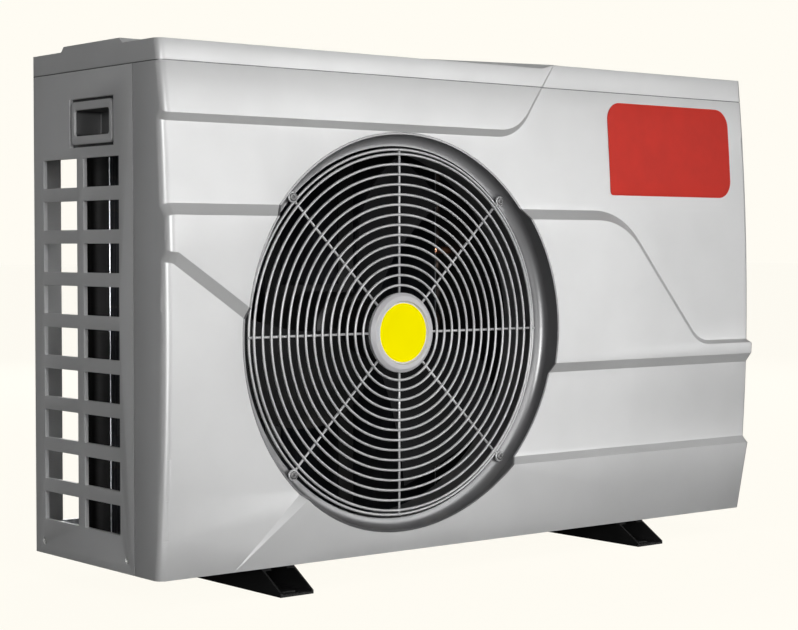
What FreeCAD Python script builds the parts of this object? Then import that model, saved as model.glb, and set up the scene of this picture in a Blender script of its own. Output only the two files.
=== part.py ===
"""Pool heat pump: an air-to-water unit in a flat ABS casing on two steel feet.

Frame: +Z up, the ground is z = 0, the front faces -Y.  The origin is the centre of the
rectangle of the four foot slots, on the ground.  All sizes are in millimetres.
"""
import FreeCAD, Part
import math
import os
import re

import Sketcher

V = FreeCAD.Vector
doc = FreeCAD.newDocument("pool_heat_pump")

# ---------------------------------------------------------------- driving dimensions
DIMENSIONS = {
    # casing
    "left_x": -449, "front_y": -147, "case_width": 960, "case_depth": 294,
    "foot_height": 28, "seam_height": 598, "case_height": 622, "plateau_height": 628,
    "seam_gap": 1.2, "tongue_inset": 1.6, "tongue_gap": 0.3, "wall": 3, "side_wall": 5,
    "corner_radius": 10, "back_radius": 6, "wrap_depth": 62, "back_return": 36, "back_wall": 2.5,
    "screw_front_y": 78.5, "screw_back_y": 268, "screw_z": 15,
    # opening of the back, over the coil
    "guard_left": 90, "guard_right": 632, "guard_low": 62, "guard_high": 564,
    # air inlet slots and hand pockets of the side panels
    "slot_wide": 79, "slot_tall": 33.5, "slot_pitch": 49.2, "slot_rows": 9,
    "slot_first_z": 70, "slot_front_y": 93, "slot_back_y": 187,
    "grip_y": 153.5, "grip_z": 537.5, "grip_wide": 99, "grip_tall": 56,
    "grip_groove": 3.4, "pocket_wide": 78, "pocket_tall": 30, "pocket_deep": 34,
    # fan, its ring and its guard
    "fan_x": -108, "fan_z": 292, "opening_radius": 240, "venturi_radius": 224,
    "first_ring": 57.1, "ring_pitch": 12.08, "ring_count": 14, "wire_radius": 1.6,
    "grille_y": 12, "fixing_radius": 226.3, "cap_radius": 48, "label_radius": 35.5,
    "blade_radius": 212, "blade_count": 3, "hub_radius": 38, "shaft_radius": 6,
    "running_gap": 0.05, "motor_radius": 47,
    # feet
    "foot_wide": 46, "foot_reach": 25, "foot_sheet": 2.5, "foot_spacing": 578,
    "foot_slot_y": 158, "foot_slot_long": 20, "foot_slot_wide": 9,
    "drain_x": -40, "drain_y": 10,
    # evaporator coil and partition, from the left side
    "coil_left": 86, "coil_right": 604, "coil_deep": 28, "coil_bottom": 36, "coil_top": 588,
    "coil_back": 7.5, "coil_rows": 14, "coil_pipe_y": 262, "bend_radius": 11, "partition": 628,
    "sheet": 1.2,
    # compressor compartment, measured from the left side and the front
    "compressor_x": 850, "compressor_y": 100, "compressor_radius": 62,
    "accumulator_x": 738, "accumulator_radius": 28,
    "exchanger_x": 715, "exchanger_y": 205, "exchanger_radius": 58,
    "inlet_z": 110, "outlet_z": 250, "port_radius": 25.1, "tube_radius": 4.75,
    "valve_x": 805, "valve_z": 430,
    # electrics on the right side
    "control_y": 172, "control_z": 425, "control_wide": 124, "control_tall": 90,
    "cover_y": 112, "cover_z": 240, "gland_z": 118,
}

sheet = doc.addObject("Spreadsheet::Sheet", "Dims")
for row, (alias, number) in enumerate(DIMENSIONS.items(), start=1):
    sheet.set(f"A{row}", alias)
    sheet.set(f"B{row}", str(number))
    sheet.setAlias(f"B{row}", alias)
doc.recompute()


def formula(text):
    """The expression that FreeCAD reads, with each alias named through the sheet."""
    def named(word):
        return f"Dims.{word[0]}" if word[0] in DIMENSIONS else word[0]

    return re.sub(r"[a-z_]{4,}", named, str(text))


def value(text):
    """The number that an expression has now."""
    result = sheet.evalExpression(str(text))
    return float(getattr(result, "Value", result))


def bind(thing, **formulas):
    """Bind properties to the sheet; x, y and z mean the placement's base."""
    for name, text in formulas.items():
        path = f"Placement.Base.{name}" if name in ("x", "y", "z") else name
        thing.setExpression(path, formula(text))
    return thing


LEFT, FRONT = "left_x", "front_y"
RIGHT = "(left_x + case_width)"
BACK = "(front_y + case_depth)"
FLOOR = "foot_height"
PAN_FLOOR = "(foot_height + 1.5)"
GAS_ROW, LIQUID_ROW = 9, 5

TURN = {
    "X": FreeCAD.Rotation(V(0, 1, 0), 90),
    "-X": FreeCAD.Rotation(V(0, 1, 0), -90),
    "Y": FreeCAD.Rotation(V(1, 0, 0), -90),
    "-Y": FreeCAD.Rotation(V(1, 0, 0), 90),
    "Z": FreeCAD.Rotation(),
    "-Z": FreeCAD.Rotation(V(1, 0, 0), 180),
}

nodes = []


def node(thing, name):
    """Register an object as one piece of the product."""
    thing.Label = name
    nodes.append(thing)
    return thing


# ---------------------------------------------------------------- Part helpers
def box(x, y, z, length, width, height):
    solid = doc.addObject("Part::Box", "box")
    return bind(solid, x=x, y=y, z=z, Length=length, Width=width, Height=height)


def cylinder(x, y, z, radius, height, axis="Z"):
    solid = doc.addObject("Part::Cylinder", "cylinder")
    solid.Placement.Rotation = TURN[axis]
    return bind(solid, x=x, y=y, z=z, Radius=radius, Height=height)


def torus(x, y, z, radius, wire):
    """A ring of round wire that faces along Y."""
    solid = doc.addObject("Part::Torus", "torus")
    solid.Placement.Rotation = TURN["Y"]
    return bind(solid, x=x, y=y, z=z, Radius1=radius, Radius2=wire)


def fuse(*pieces):
    joined = doc.addObject("Part::MultiFuse", "fuse")
    joined.Shapes = list(pieces)
    return joined


def cut(base, *tools):
    result = doc.addObject("Part::Cut", "cut")
    result.Base = base
    result.Tool = tools[0] if len(tools) == 1 else fuse(*tools)
    return result


def common(first, second):
    result = doc.addObject("Part::Common", "common")
    result.Base = first
    result.Tool = second
    return result


def group(*pieces):
    """Separate solids that share one node."""
    together = doc.addObject("Part::Compound", "group")
    together.Links = list(pieces)
    return together


def fillet(base, radius, wanted):
    """Round the edges that the test function wants."""
    doc.recompute()
    rounded = doc.addObject("Part::Fillet", "fillet")
    rounded.Base = base
    rounded.Edges = [(number, radius, radius)
                     for number, edge in enumerate(base.Shape.Edges, start=1) if wanted(edge)]
    return rounded


def runs_along(edge, axis):
    """Whether a straight edge lies along X, Y or Z."""
    if len(edge.Vertexes) != 2 or edge.Curve.TypeId != "Part::GeomLine":
        return False
    direction = edge.Vertexes[1].Point - edge.Vertexes[0].Point
    return abs(getattr(direction.normalize(), axis)) > 0.999


# ---------------------------------------------------------------- PartDesign helpers
def new_body(name, axis="Z", x="0", y="0", z="0"):
    body = doc.addObject("PartDesign::Body", name)
    body.Placement.Rotation = TURN[axis]
    return node(bind(body, x=x, y=y, z=z), name)


def attach(body, name, plane, offset="0"):
    sketch = body.newObject("Sketcher::SketchObject", name)
    origin_plane = [item for item in body.Origin.OriginFeatures if item.Role == plane][0]
    sketch.AttachmentSupport = (origin_plane, [""])
    sketch.MapMode = "FlatFace"
    sketch.setExpression("AttachmentOffset.Base.z", formula(offset))
    return sketch


def pin_point(sketch, element, corner, across, up):
    """Hold a sketch point at two formulas measured from the sketch's origin."""
    for kind, text in (("DistanceX", across), ("DistanceY", up)):
        rule = sketch.addConstraint(Sketcher.Constraint(kind, -1, 1, element, corner, value(text)))
        sketch.setExpression(f"Constraints[{rule}]", formula(text))


def add_polygon(sketch, points):
    first = sketch.GeometryCount
    spots = [V(value(across), value(up), 0) for across, up in points]
    count = len(points)
    for index in range(count):
        sketch.addGeometry(Part.LineSegment(spots[index], spots[(index + 1) % count]))
    for index in range(count):
        sketch.addConstraint(Sketcher.Constraint(
            "Coincident", first + index, 2, first + (index + 1) % count, 1))
    for index, (across, up) in enumerate(points):
        pin_point(sketch, first + index, 1, across, up)


def rectangle(across, up, width, height):
    """Corner points of a rectangle about a centre."""
    left, right = f"{across} - ({width}) / 2", f"{across} + ({width}) / 2"
    low, high = f"{up} - ({height}) / 2", f"{up} + ({height}) / 2"
    return [(left, low), (right, low), (right, high), (left, high)]


def add_circle(sketch, across, up, radius):
    circle = Part.Circle(V(value(across), value(up), 0), V(0, 0, 1), value(radius))
    index = sketch.addGeometry(circle)
    pin_point(sketch, index, 3, across, up)
    rule = sketch.addConstraint(Sketcher.Constraint("Radius", index, value(radius)))
    sketch.setExpression(f"Constraints[{rule}]", formula(radius))


def pad(body, sketch, length):
    feature = body.newObject("PartDesign::Pad", "pad")
    feature.Profile = sketch
    feature.setExpression("Length", formula(length))
    return feature


def pocket(body, sketch, length=None, backwards=False):
    """A cut through everything, or to a depth."""
    feature = body.newObject("PartDesign::Pocket", "pocket")
    feature.Profile = sketch
    feature.Reversed = backwards
    if length is None:
        feature.Type = "ThroughAll"
        feature.Midplane = True
    else:
        feature.setExpression("Length", formula(length))
    return feature


def round_body(body, radius, wanted):
    """Round the edges of a body's last feature that the test function wants."""
    doc.recompute()
    base = body.Tip
    names = [f"Edge{number}" for number, edge in enumerate(base.Shape.Edges, start=1)
             if wanted(edge)]
    feature = body.newObject("PartDesign::Fillet", "round")
    feature.Base = (base, names)
    feature.setExpression("Radius", formula(radius))
    return feature


def turned(name, profile, axis="Z", x="0", y="0", z="0"):
    """A turned piece: its profile is (radius, distance along the axis)."""
    body = new_body(name, axis, x, y, z)
    sketch = attach(body, "profile", "XZ_Plane")
    add_polygon(sketch, profile)
    feature = body.newObject("PartDesign::Revolution", "turn")
    feature.Profile = sketch
    feature.ReferenceAxis = (sketch, ["V_Axis"])
    feature.Angle = 360
    return body


# ---------------------------------------------------------------- free-form helpers
def shape_feature(name, shape):
    thing = doc.addObject("Part::Feature", name)
    thing.Shape = shape
    return thing


def grown(points, distances):
    """The corners of an anticlockwise polygon once each side has moved outwards by its distance."""
    moved = []
    for index, (x, z) in enumerate(points):
        before, after = points[index - 1], points[(index + 1) % len(points)]
        into = V(x - before[0], 0, z - before[1]).normalize()
        out = V(after[0] - x, 0, after[1] - z).normalize()
        first, second = distances[index - 1], distances[index]
        turn = into.x * out.z - into.z * out.x
        moved.append((x + (second * into.x - first * out.x) / turn,
                      z + (second * into.z - first * out.z) / turn))
    return moved


def rounded_wire(points, radii, y):
    """A closed outline in the XZ plane with each corner rounded to its radius."""
    starts, ends, arcs = [], [], []
    for index, radius in enumerate(radii):
        corner = V(points[index][0], y, points[index][1])
        before = V(points[index - 1][0], y, points[index - 1][1])
        after = V(points[(index + 1) % len(points)][0], y, points[(index + 1) % len(points)][1])
        towards, away = (before - corner).normalize(), (after - corner).normalize()
        half = towards.getAngle(away) / 2
        reach = radius / math.tan(half)
        middle = corner + (towards + away).normalize() * (radius / math.sin(half) - radius)
        starts.append(corner + towards * reach)
        ends.append(corner + away * reach)
        arcs.append(Part.Arc(starts[-1], middle, ends[-1]).toShape() if radius else None)
    edges = []
    for index, arc in enumerate(arcs):
        if arc:
            edges.append(arc)
        edges.append(Part.LineSegment(ends[index], starts[(index + 1) % len(arcs)]).toShape())
    return Part.Wire(edges)


def bevelled_region(points, slopes, radii, back_radii, y):
    """A block whose outline at depth y grows as it goes back, each side by its own slope."""
    depth = 24
    front = rounded_wire(points, radii, y)
    back = rounded_wire(grown(points, [slope * depth for slope in slopes]), back_radii, y + depth)
    bevel = Part.makeLoft([front, back], True, True)
    return bevel.fuse(Part.Face(back).extrude(V(0, 60, 0)))


def casing_block(front_edges, low_corner, high_corner):
    """The casing's block behind a front outline, with its two back corners rounded."""
    right_shift = V(value("case_width"), 0, 0)
    back_low = V(low_corner.x, value(BACK), low_corner.z)
    back_high = V(high_corner.x, value(BACK), high_corner.z)
    outline = Part.Wire(front_edges + [
        Part.LineSegment(high_corner, back_high).toShape(),
        Part.LineSegment(back_high, back_low).toShape(),
        Part.LineSegment(back_low, low_corner).toShape()])
    block = Part.Face(outline).extrude(right_shift)
    back_corners = [edge for edge in block.Edges
                    if runs_along(edge, "z") and edge.BoundBox.YMin > value(BACK) - 1]
    return block.makeFillet(value("back_radius"), back_corners)


def is_front_corner(edge):
    """Whether an edge is where the front meets the left or the right side."""
    spread = edge.BoundBox
    in_side = any(abs(spread.XMin - side) + abs(spread.XMax - side) < 0.01
                  for side in (value(LEFT), value(RIGHT)))
    return in_side and spread.YMax < value(FRONT) + value("wrap_depth") and spread.ZLength > 0.5


def front_point(depth, height):
    """A point of the left side's outline, from the front plane and the underside."""
    return V(value(LEFT), value(FRONT) + depth, value(FLOOR) + height)


def leaning_slab(bottom, top):
    """A block with a flat front that leans from one depth to another."""
    low, high = front_point(bottom, 0), front_point(top, value("plateau_height") - value(FLOOR))
    return casing_block([Part.LineSegment(low, high).toShape()], low, high)


def bowed_slab(bottom, waist, top, waist_height):
    """A block whose front is furthest forward at its waist and bows back above and below."""
    full = value("plateau_height") - value(FLOOR)
    low, high = front_point(bottom, 0), front_point(top, full)
    middle = front_point(waist, waist_height)
    under = front_point((bottom + 3 * waist) / 4, waist_height / 2)
    over = front_point((top + 3 * waist) / 4, (waist_height + full) / 2)
    lower_arc, upper_arc = Part.Arc(low, under, middle), Part.Arc(middle, over, high)
    return casing_block([lower_arc.toShape(), upper_arc.toShape()], low, high)


def from_left(points):
    """Points given from the casing's lower left corner, in the part's frame."""
    return [(value(LEFT) + x, value(FLOOR) + z) for x, z in points]


# ---------------------------------------------------------------- casing
def front_relief(set_back=0):
    """The whole casing as one block, with the raised fields of its front.

    The fields are the brow at the upper left, the band that carries the fan opening and
    runs out to a rib on the right, and the foot of the front below the fan.  Each outline is
    stated at the field's foremost depth; set_back moves every front face into the casing,
    which gives the inside of the shell.
    """
    crown = bowed_slab(12, -3.4, 14.5, 270)
    brow = leaning_slab(-80.2, 11.5)
    band = bowed_slab(2.4, -13, 4.9, 270)
    toe = leaning_slab(12, -105.9)
    front = value(FRONT)

    brow_field = bevelled_region(
        from_left([(-40, 512.9), (519, 512.9), (597.8, 640), (-40, 640)]),
        [1.16, 1.25, 1, 1], [0, 50, 0, 0], [0, 78, 0, 0], front - 2)
    band_field = bevelled_region(
        from_left([(-40, 397.9), (-40, 362.9), (12.5, 362.9), (150, 268), (400, 220), (1000, 220),
                   (1000, 234.4), (844, 234.4), (700, 397.9)]),
        [1, 1.2, 1.2, 1.25, 1.25, 1, 0.5, 1.25, 1.28],
        [0, 0, 5, 0, 0, 0, 0, 50, 94], [0, 0, 34, 0, 0, 0, 0, 29, 124], front - 13)
    toe_field = bevelled_region(
        from_left([(116.3, -20), (1000, -20), (1000, 93.7), (214.8, 93.7)]),
        [1, 1, 1, 1.4], [0, 0, 0, 0], [0, 0, 0, 0], front - 6.7)
    fields = [brow.common(brow_field), band.common(band_field), toe.common(toe_field)]
    relief = crown.fuse(fields).removeSplitter()
    corners = [edge for edge in relief.Edges if is_front_corner(edge)]
    relief = relief.makeFillet(value("corner_radius"), corners)
    relief.translate(V(0, set_back, 0))
    return relief


RELIEF = shape_feature("front_relief", front_relief())
INSIDE = shape_feature("front_inside", front_relief(value("wall") + 0.6))
TONGUE = shape_feature("front_tongue", front_relief(value("tongue_inset")))


def front_panel():
    """The moulded front with its wrapped sides, open behind, with the fan opening."""
    high = "seam_height - foot_height - seam_gap / 2"
    front_block = common(RELIEF, box(
        LEFT, f"{FRONT} - 30", FLOOR, "case_width", "wrap_depth + 30", high))
    hollow = common(INSIDE, box(
        f"{LEFT} + wall", f"{FRONT} - 30", FLOOR, "case_width - 2 * wall", "wrap_depth + 60", high))
    opening = cylinder("fan_x", f"{FRONT} - 30", "fan_z", "opening_radius", "100", "Y")
    node(cut(front_block, hollow, opening), "front_panel")


def top_cover():
    """The lid: a shallow moulded tray, upside down, with a raised plateau and a tongue in the seam."""
    low = "seam_height + seam_gap / 2"
    block = common(RELIEF, box(
        LEFT, f"{FRONT} - 30", low, "case_width", "case_depth + 30", "60"))
    left, front = value(LEFT), value(FRONT)
    level = value("case_height")
    plateau = [(left + x, front + y) for x, y in (
        (-40, 90), (274, 90), (641, 0), (680, -40), (1010, -40), (1010, 340), (600, 340),
        (560, 300), (274, 216), (-40, 216))]
    top_outline = [V(x, y, value("plateau_height")) for x, y in plateau]
    step = value("plateau_height") - level
    low_outline = [V(x, z, level) for x, z in grown(plateau, [step] * len(plateau))]
    raised = Part.makeLoft([Part.makePolygon(top_outline + top_outline[:1]),
                            Part.makePolygon(low_outline + low_outline[:1])], True, True)
    base = Part.makeBox(1100, 500, level - 500, V(left - 70, front - 100, 500))
    limit = shape_feature("top_limit", base.fuse(raised))
    tongue_low = "seam_height - seam_gap / 2 + tongue_gap"
    tongue = common(TONGUE, box(
        f"{LEFT} + tongue_inset", f"{FRONT} - 30", tongue_low, "case_width - 2 * tongue_inset",
        "case_depth + 30 - tongue_inset", "2 * seam_gap"))
    hollow = common(INSIDE, box(
        f"{LEFT} + wall", f"{FRONT} - 30", "seam_height - 40",
        "case_width - 2 * wall", "case_depth + 30 - wall", "case_height - wall - seam_height + 40"))
    node(cut(fuse(common(block, limit), tongue), hollow), "top_cover")


def side_outline(body, side):
    """The plan of a side panel: a straight side with a return round the back corner."""
    edge, inwards = (LEFT, "+") if side == "left" else (RIGHT, "-")
    inner, post = f"{edge} {inwards} side_wall", f"{edge} {inwards} back_return"
    start = f"{FRONT} + wrap_depth + seam_gap"
    sketch = attach(body, "plan", "XY_Plane", FLOOR)
    add_polygon(sketch, [(edge, start), (inner, start), (inner, f"{BACK} - side_wall"),
                         (post, f"{BACK} - side_wall"), (post, BACK), (edge, BACK)])
    pad(body, sketch, "seam_height - seam_gap / 2 - foot_height")

    def outer_corner(seam):
        middle = seam.CenterOfMass
        at_corner = abs(middle.x - value(edge)) < 0.01 and middle.y > value(BACK) - 0.01
        return at_corner and runs_along(seam, "z")

    round_body(body, "back_radius", outer_corner)


def grip_cut(body, edge_offset):
    """The aperture that a hand pocket drops into."""
    sketch = attach(body, "grip", "YZ_Plane", edge_offset)
    add_polygon(sketch, rectangle(f"{FRONT} + grip_y", "grip_z", "grip_wide", "grip_tall"))
    return pocket(body, sketch)


def left_side_panel():
    body = new_body("left_side_panel")
    side_outline(body, "left")
    grip_cut(body, LEFT)
    slots = attach(body, "slots", "YZ_Plane", LEFT)
    for across in ("slot_front_y", "slot_back_y"):
        middle = f"{FRONT} + {across} + slot_wide / 2"
        height = "slot_first_z + slot_tall / 2"
        add_polygon(slots, rectangle(middle, height, "slot_wide", "slot_tall"))
    louvre = pocket(body, slots)
    rows = body.newObject("PartDesign::LinearPattern", "slot_rows")
    rows.Originals = [louvre]
    rows.Direction = (slots, ["V_Axis"])
    rows.setExpression("Occurrences", formula("slot_rows"))
    rows.setExpression("Length", formula("slot_pitch * (slot_rows - 1)"))
    body.Tip = rows
    screw_holes(body, LEFT)


def screw_holes(body, edge):
    """Counterbored holes along the foot of a side panel."""
    for radius, length in (("2.2", None), ("4.2", "2")):
        sketch = attach(body, "screw_holes", "YZ_Plane", edge)
        for y, z in case_screw_spots():
            add_circle(sketch, y, z, radius)
        pocket(body, sketch, length, backwards=edge == LEFT)


def case_screw_spots():
    return [(f"{FRONT} + {across}", f"{FLOOR} + screw_z") for across in ("screw_front_y", "screw_back_y")]


def right_side_panel():
    body = new_body("right_side_panel")
    side_outline(body, "right")
    grip_cut(body, RIGHT)
    ports = attach(body, "ports", "YZ_Plane", RIGHT)
    for height in ("inlet_z", "outlet_z"):
        add_circle(ports, f"{FRONT} + exchanger_y", height, "34")
    add_circle(ports, f"{FRONT} + cover_y", "gland_z", "9")
    add_polygon(ports, rectangle(f"{FRONT} + cover_y", "cover_z", "52", "94"))
    pocket(body, ports)
    screw_holes(body, RIGHT)


def back_panel():
    """Sheet steel between the two side returns, cut away over the coil."""
    body = new_body("back_panel")
    outline = attach(body, "outline", "XZ_Plane", f"-({BACK})")
    left, right = f"{LEFT} + back_return + 0.6", f"{RIGHT} - back_return - 0.6"
    add_polygon(outline, [(left, "foot_height + 2"), (right, "foot_height + 2"),
                          (right, "seam_height - 2"), (left, "seam_height - 2"),
                          (left, "guard_high"), (f"{LEFT} + guard_right", "guard_high"),
                          (f"{LEFT} + guard_right", "guard_low"), (left, "guard_low")])
    pad(body, outline, "back_wall")


def back_guard():
    """Welded wire guard over the back of the coil."""
    left, right = f"{LEFT} + guard_left", f"{LEFT} + guard_right"
    y = f"{BACK} - back_wall / 2"
    radius, tall = "1.2", "guard_high - guard_low"
    wires = []
    for index in range(9):
        x = f"{left} + 3 + {index} * 66"
        wires.append(cylinder(x, y, "guard_low", radius, tall))
    for index in range(11):
        z = f"guard_low + 16 + {index} * 47"
        wires.append(cylinder(f"{left} + 1.2", y, z, radius, f"{right} - ({left}) - 1.2", "X"))
    node(fuse(*wires), "back_guard")


def hand_pocket(name, edge, direction):
    """A moulded finger pocket: a face plate, a tub behind it and a flange inside the panel."""
    y, z = f"{FRONT} + grip_y", "grip_z"

    def block(start, deep, wide, tall):
        """A centred block that runs inwards from a depth behind the side's face."""
        x = f"{edge} + {start}" if direction > 0 else f"{edge} - ({start}) - ({deep})"
        return box(x, f"{y} - ({wide}) / 2", f"{z} - ({tall}) / 2", deep, wide, tall)

    plate = block("0.4", "6", "grip_wide - 2 * grip_groove", "grip_tall - 2 * grip_groove")
    plate = fillet(plate, 6, lambda edge: runs_along(edge, "x"))
    tub = block("2", "pocket_deep + 2", "pocket_wide + 5", "pocket_tall + 5")
    flange = block("side_wall + 0.1", "2", "grip_wide + 10", "grip_tall + 8")
    hollow = fillet(block("-2", "pocket_deep + 4", "pocket_wide", "pocket_tall"), 4,
                    lambda edge: runs_along(edge, "x"))
    node(cut(fuse(plate, tub, flange), hollow), name)


def badge():
    """A plain plate that follows the bow of the front."""
    corners = from_left([(687, 435), (923, 435), (923, 557), (687, 557)])
    outline = rounded_wire(corners, [5, 24, 24, 24], value(FRONT) - 10)
    prism = Part.Face(outline).extrude(V(0, 60, 0))
    face = front_relief(-1.4).common(prism)
    node(cut(shape_feature("badge_blank", face), RELIEF), "badge")


def casing():
    front_panel()
    top_cover()
    left_side_panel()
    right_side_panel()
    back_panel()
    back_guard()
    hand_pocket("handle_left", LEFT, 1)
    hand_pocket("handle_right", RIGHT, -1)
    badge()


# ---------------------------------------------------------------- base and feet
def base_pan():
    """The drip tray that everything inside stands on."""
    body = new_body("base_pan")
    outline = attach(body, "outline", "XY_Plane", FLOOR)
    corners = [(f"{LEFT} + 5.6", f"{FRONT} + 20"), (f"{RIGHT} - 5.6", f"{FRONT} + 20"),
               (f"{RIGHT} - 5.6", f"{BACK} - 5.6"), (f"{LEFT} + 5.6", f"{BACK} - 5.6")]
    add_polygon(outline, corners)
    pad(body, outline, "26")
    tray = attach(body, "tray", "XY_Plane", f"{FLOOR} + 26")
    insets = (("+", "+"), ("-", "+"), ("-", "-"), ("+", "-"))
    add_polygon(tray, [(f"{x} {in_x} 1.5", f"{y} {in_y} 1.5")
                       for (x, y), (in_x, in_y) in zip(corners, insets)])
    pocket(body, tray, "24.5")
    holes = attach(body, "holes", "XY_Plane", FLOOR)
    add_circle(holes, "drain_x", "drain_y", "9.1")
    for middle in foot_middles():
        for x, y in foot_bolt_spots(middle):
            add_circle(holes, x, y, "3.1")
    pocket(body, holes)


def foot_middles():
    return ["-foot_spacing / 2", "foot_spacing / 2"]


def foot_bolt_spots(middle):
    """Four bolts per foot, through the lips of its channel."""
    across = "(foot_wide / 2 - 8)"
    return [(f"{middle} {side} {across}", y) for side in "-+" for y in ("-90", "90")]


def foot(name, middle):
    """A lipped steel channel, open upwards, with ends cut back to leave slotted tongues."""
    body = new_body(name)
    half, lip, low = "foot_wide / 2", "12", "foot_sheet"
    deep = "(case_depth + 2 * foot_reach)"
    outline = attach(body, "section", "XZ_Plane", f"-({deep} / 2)")
    right_side = [(half, "0"), (half, FLOOR), (f"{half} - {lip}", FLOOR),
                  (f"{half} - {lip}", f"{FLOOR} - {low}"), (f"{half} - {low}", f"{FLOOR} - {low}"),
                  (f"{half} - {low}", low)]
    points = [(f"{middle} + ({across})", up) for across, up in right_side]
    points += [(f"{middle} - ({across})", up) for across, up in reversed(right_side)]
    add_polygon(outline, points)
    pad(body, outline, deep)
    ends = attach(body, "ends", "YZ_Plane", middle)
    for side in "-+":
        tip, start = f"{side}({deep} / 2 + 1)", f"{side}({deep} / 2 - 40)"
        add_polygon(ends, [(tip, f"{low} + 1"), (tip, f"{FLOOR} + 1"), (start, f"{FLOOR} + 1")])
    pocket(body, ends)
    slots = attach(body, "slots", "XY_Plane", "0")
    for side in "-+":
        add_slot(slots, middle, f"{side}foot_slot_y", "foot_slot_long", "foot_slot_wide")
    pocket(body, slots)
    holes = attach(body, "bolt_holes", "XY_Plane", FLOOR)
    for x, y in foot_bolt_spots(middle):
        add_circle(holes, x, y, "3.1")
    pocket(body, holes, "foot_sheet + 1")


def add_slot(sketch, x, y, length, width):
    """A round-ended slot along X."""
    radius = f"({width}) / 2"
    reach = f"(({length}) - ({width})) / 2"
    cx, cy, r, half = value(x), value(y), value(radius), value(reach)
    first = sketch.GeometryCount
    quarter = math.pi / 2
    right = Part.ArcOfCircle(Part.Circle(V(cx + half, cy, 0), V(0, 0, 1), r), -quarter, quarter)
    left = Part.ArcOfCircle(Part.Circle(V(cx - half, cy, 0), V(0, 0, 1), r), quarter, 3 * quarter)
    sketch.addGeometry(right)
    sketch.addGeometry(Part.LineSegment(V(cx + half, cy + r, 0), V(cx - half, cy + r, 0)))
    sketch.addGeometry(left)
    sketch.addGeometry(Part.LineSegment(V(cx - half, cy - r, 0), V(cx + half, cy - r, 0)))
    for arc, arc_end, line, line_end in ((0, 2, 1, 1), (2, 1, 1, 2), (2, 2, 3, 1), (0, 1, 3, 2)):
        sketch.addConstraint(Sketcher.Constraint(
            "Tangent", first + arc, arc_end, first + line, line_end))
    pin_point(sketch, first, 3, f"{x} + {reach}", y)
    pin_point(sketch, first + 2, 3, f"{x} - {reach}", y)
    rule = sketch.addConstraint(Sketcher.Constraint("Radius", first, r))
    sketch.setExpression(f"Constraints[{rule}]", formula(radius))


def bolt(x, y, z, axis, radius, length, head_radius, head, sides=0):
    """A screw whose shank runs from its seat along the axis, with its head before the seat."""
    shank = cylinder(x, y, z, radius, length, axis)
    direction = TURN[axis].multVec(V(0, 0, 1))
    if sides:
        cap = doc.addObject("Part::Prism", "hex_head")
        cap.Polygon = sides
        bind(cap, Circumradius=head_radius, Height=head)
    else:
        cap = doc.addObject("Part::Cylinder", "round_head")
        bind(cap, Radius=head_radius, Height=head)
    cap.Placement.Rotation = TURN[axis]
    moved = [f"{base} - ({step:g}) * ({head})" for base, step in zip((x, y, z), direction)]
    bind(cap, x=moved[0], y=moved[1], z=moved[2])
    return fuse(shank, cap)


def foot_bolts():
    bolts = []
    for middle in foot_middles():
        for x, y in foot_bolt_spots(middle):
            bolts.append(bolt(x, y, f"{FLOOR} - foot_sheet", "Z", "3", "10", "5.3", "4", 6))
    node(group(*bolts), "foot_bolts")


def drain_spout():
    """A hose spigot under the lowest point of the pan."""
    turned("drain_spout", [("6.5", "-20"), ("9", "-20"), ("9", "-3"), ("15", "-3"), ("15", "0"),
                           ("9", "0"), ("9", "1.4"), ("6.5", "1.4")], "Z", "drain_x", "drain_y", FLOOR)


def base():
    base_pan()
    foot("foot_left", foot_middles()[0])
    foot("foot_right", foot_middles()[1])
    foot_bolts()
    drain_spout()


# ---------------------------------------------------------------- fan
def fan_shroud():
    """The black ring in the fan opening: a lip flush with the front, a cove and a short duct."""
    lip_inside, lip_outside = "opening_radius - 2.5", "opening_radius - 0.4"
    duct_outside, flange = "venturi_radius + 2.5", "opening_radius + 18"
    profile = [(lip_inside, "-20"), (lip_inside, "17.5"), ("venturi_radius", "17.5"),
               ("venturi_radius", "72"), (duct_outside, "72"), (duct_outside, "18.5"),
               (flange, "18.5"), (flange, "16"), (lip_outside, "16"), (lip_outside, "-20")]
    ring = turned("shroud_turning", profile, "Y", "fan_x", FRONT, "fan_z")
    nodes.remove(ring)

    def cove(edge):
        round_the_lip = abs(edge.Length - 2 * math.pi * value(lip_inside)) < 1
        return round_the_lip and abs(edge.CenterOfMass.z - 17.5) < 0.01

    round_body(ring, "13", cove)
    bosses = [cylinder(x, f"{FRONT} + 13.7", z, "5", "4", "Y") for x, z in fixing_spots()]
    bores = [cylinder(x, f"{FRONT} + 10", z, "2.3", "20", "Y") for x, z in fixing_spots()]
    flush = common(ring, RELIEF)
    node(cut(fuse(flush, *bosses), *bores), "fan_shroud")


def fixing_spots():
    """The four diagonal points where the guard is screwed down."""
    reach = "fixing_radius * 0.70711"
    return [(f"fan_x {right} {reach}", f"fan_z {up} {reach}") for right in "-+" for up in "-+"]


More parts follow.
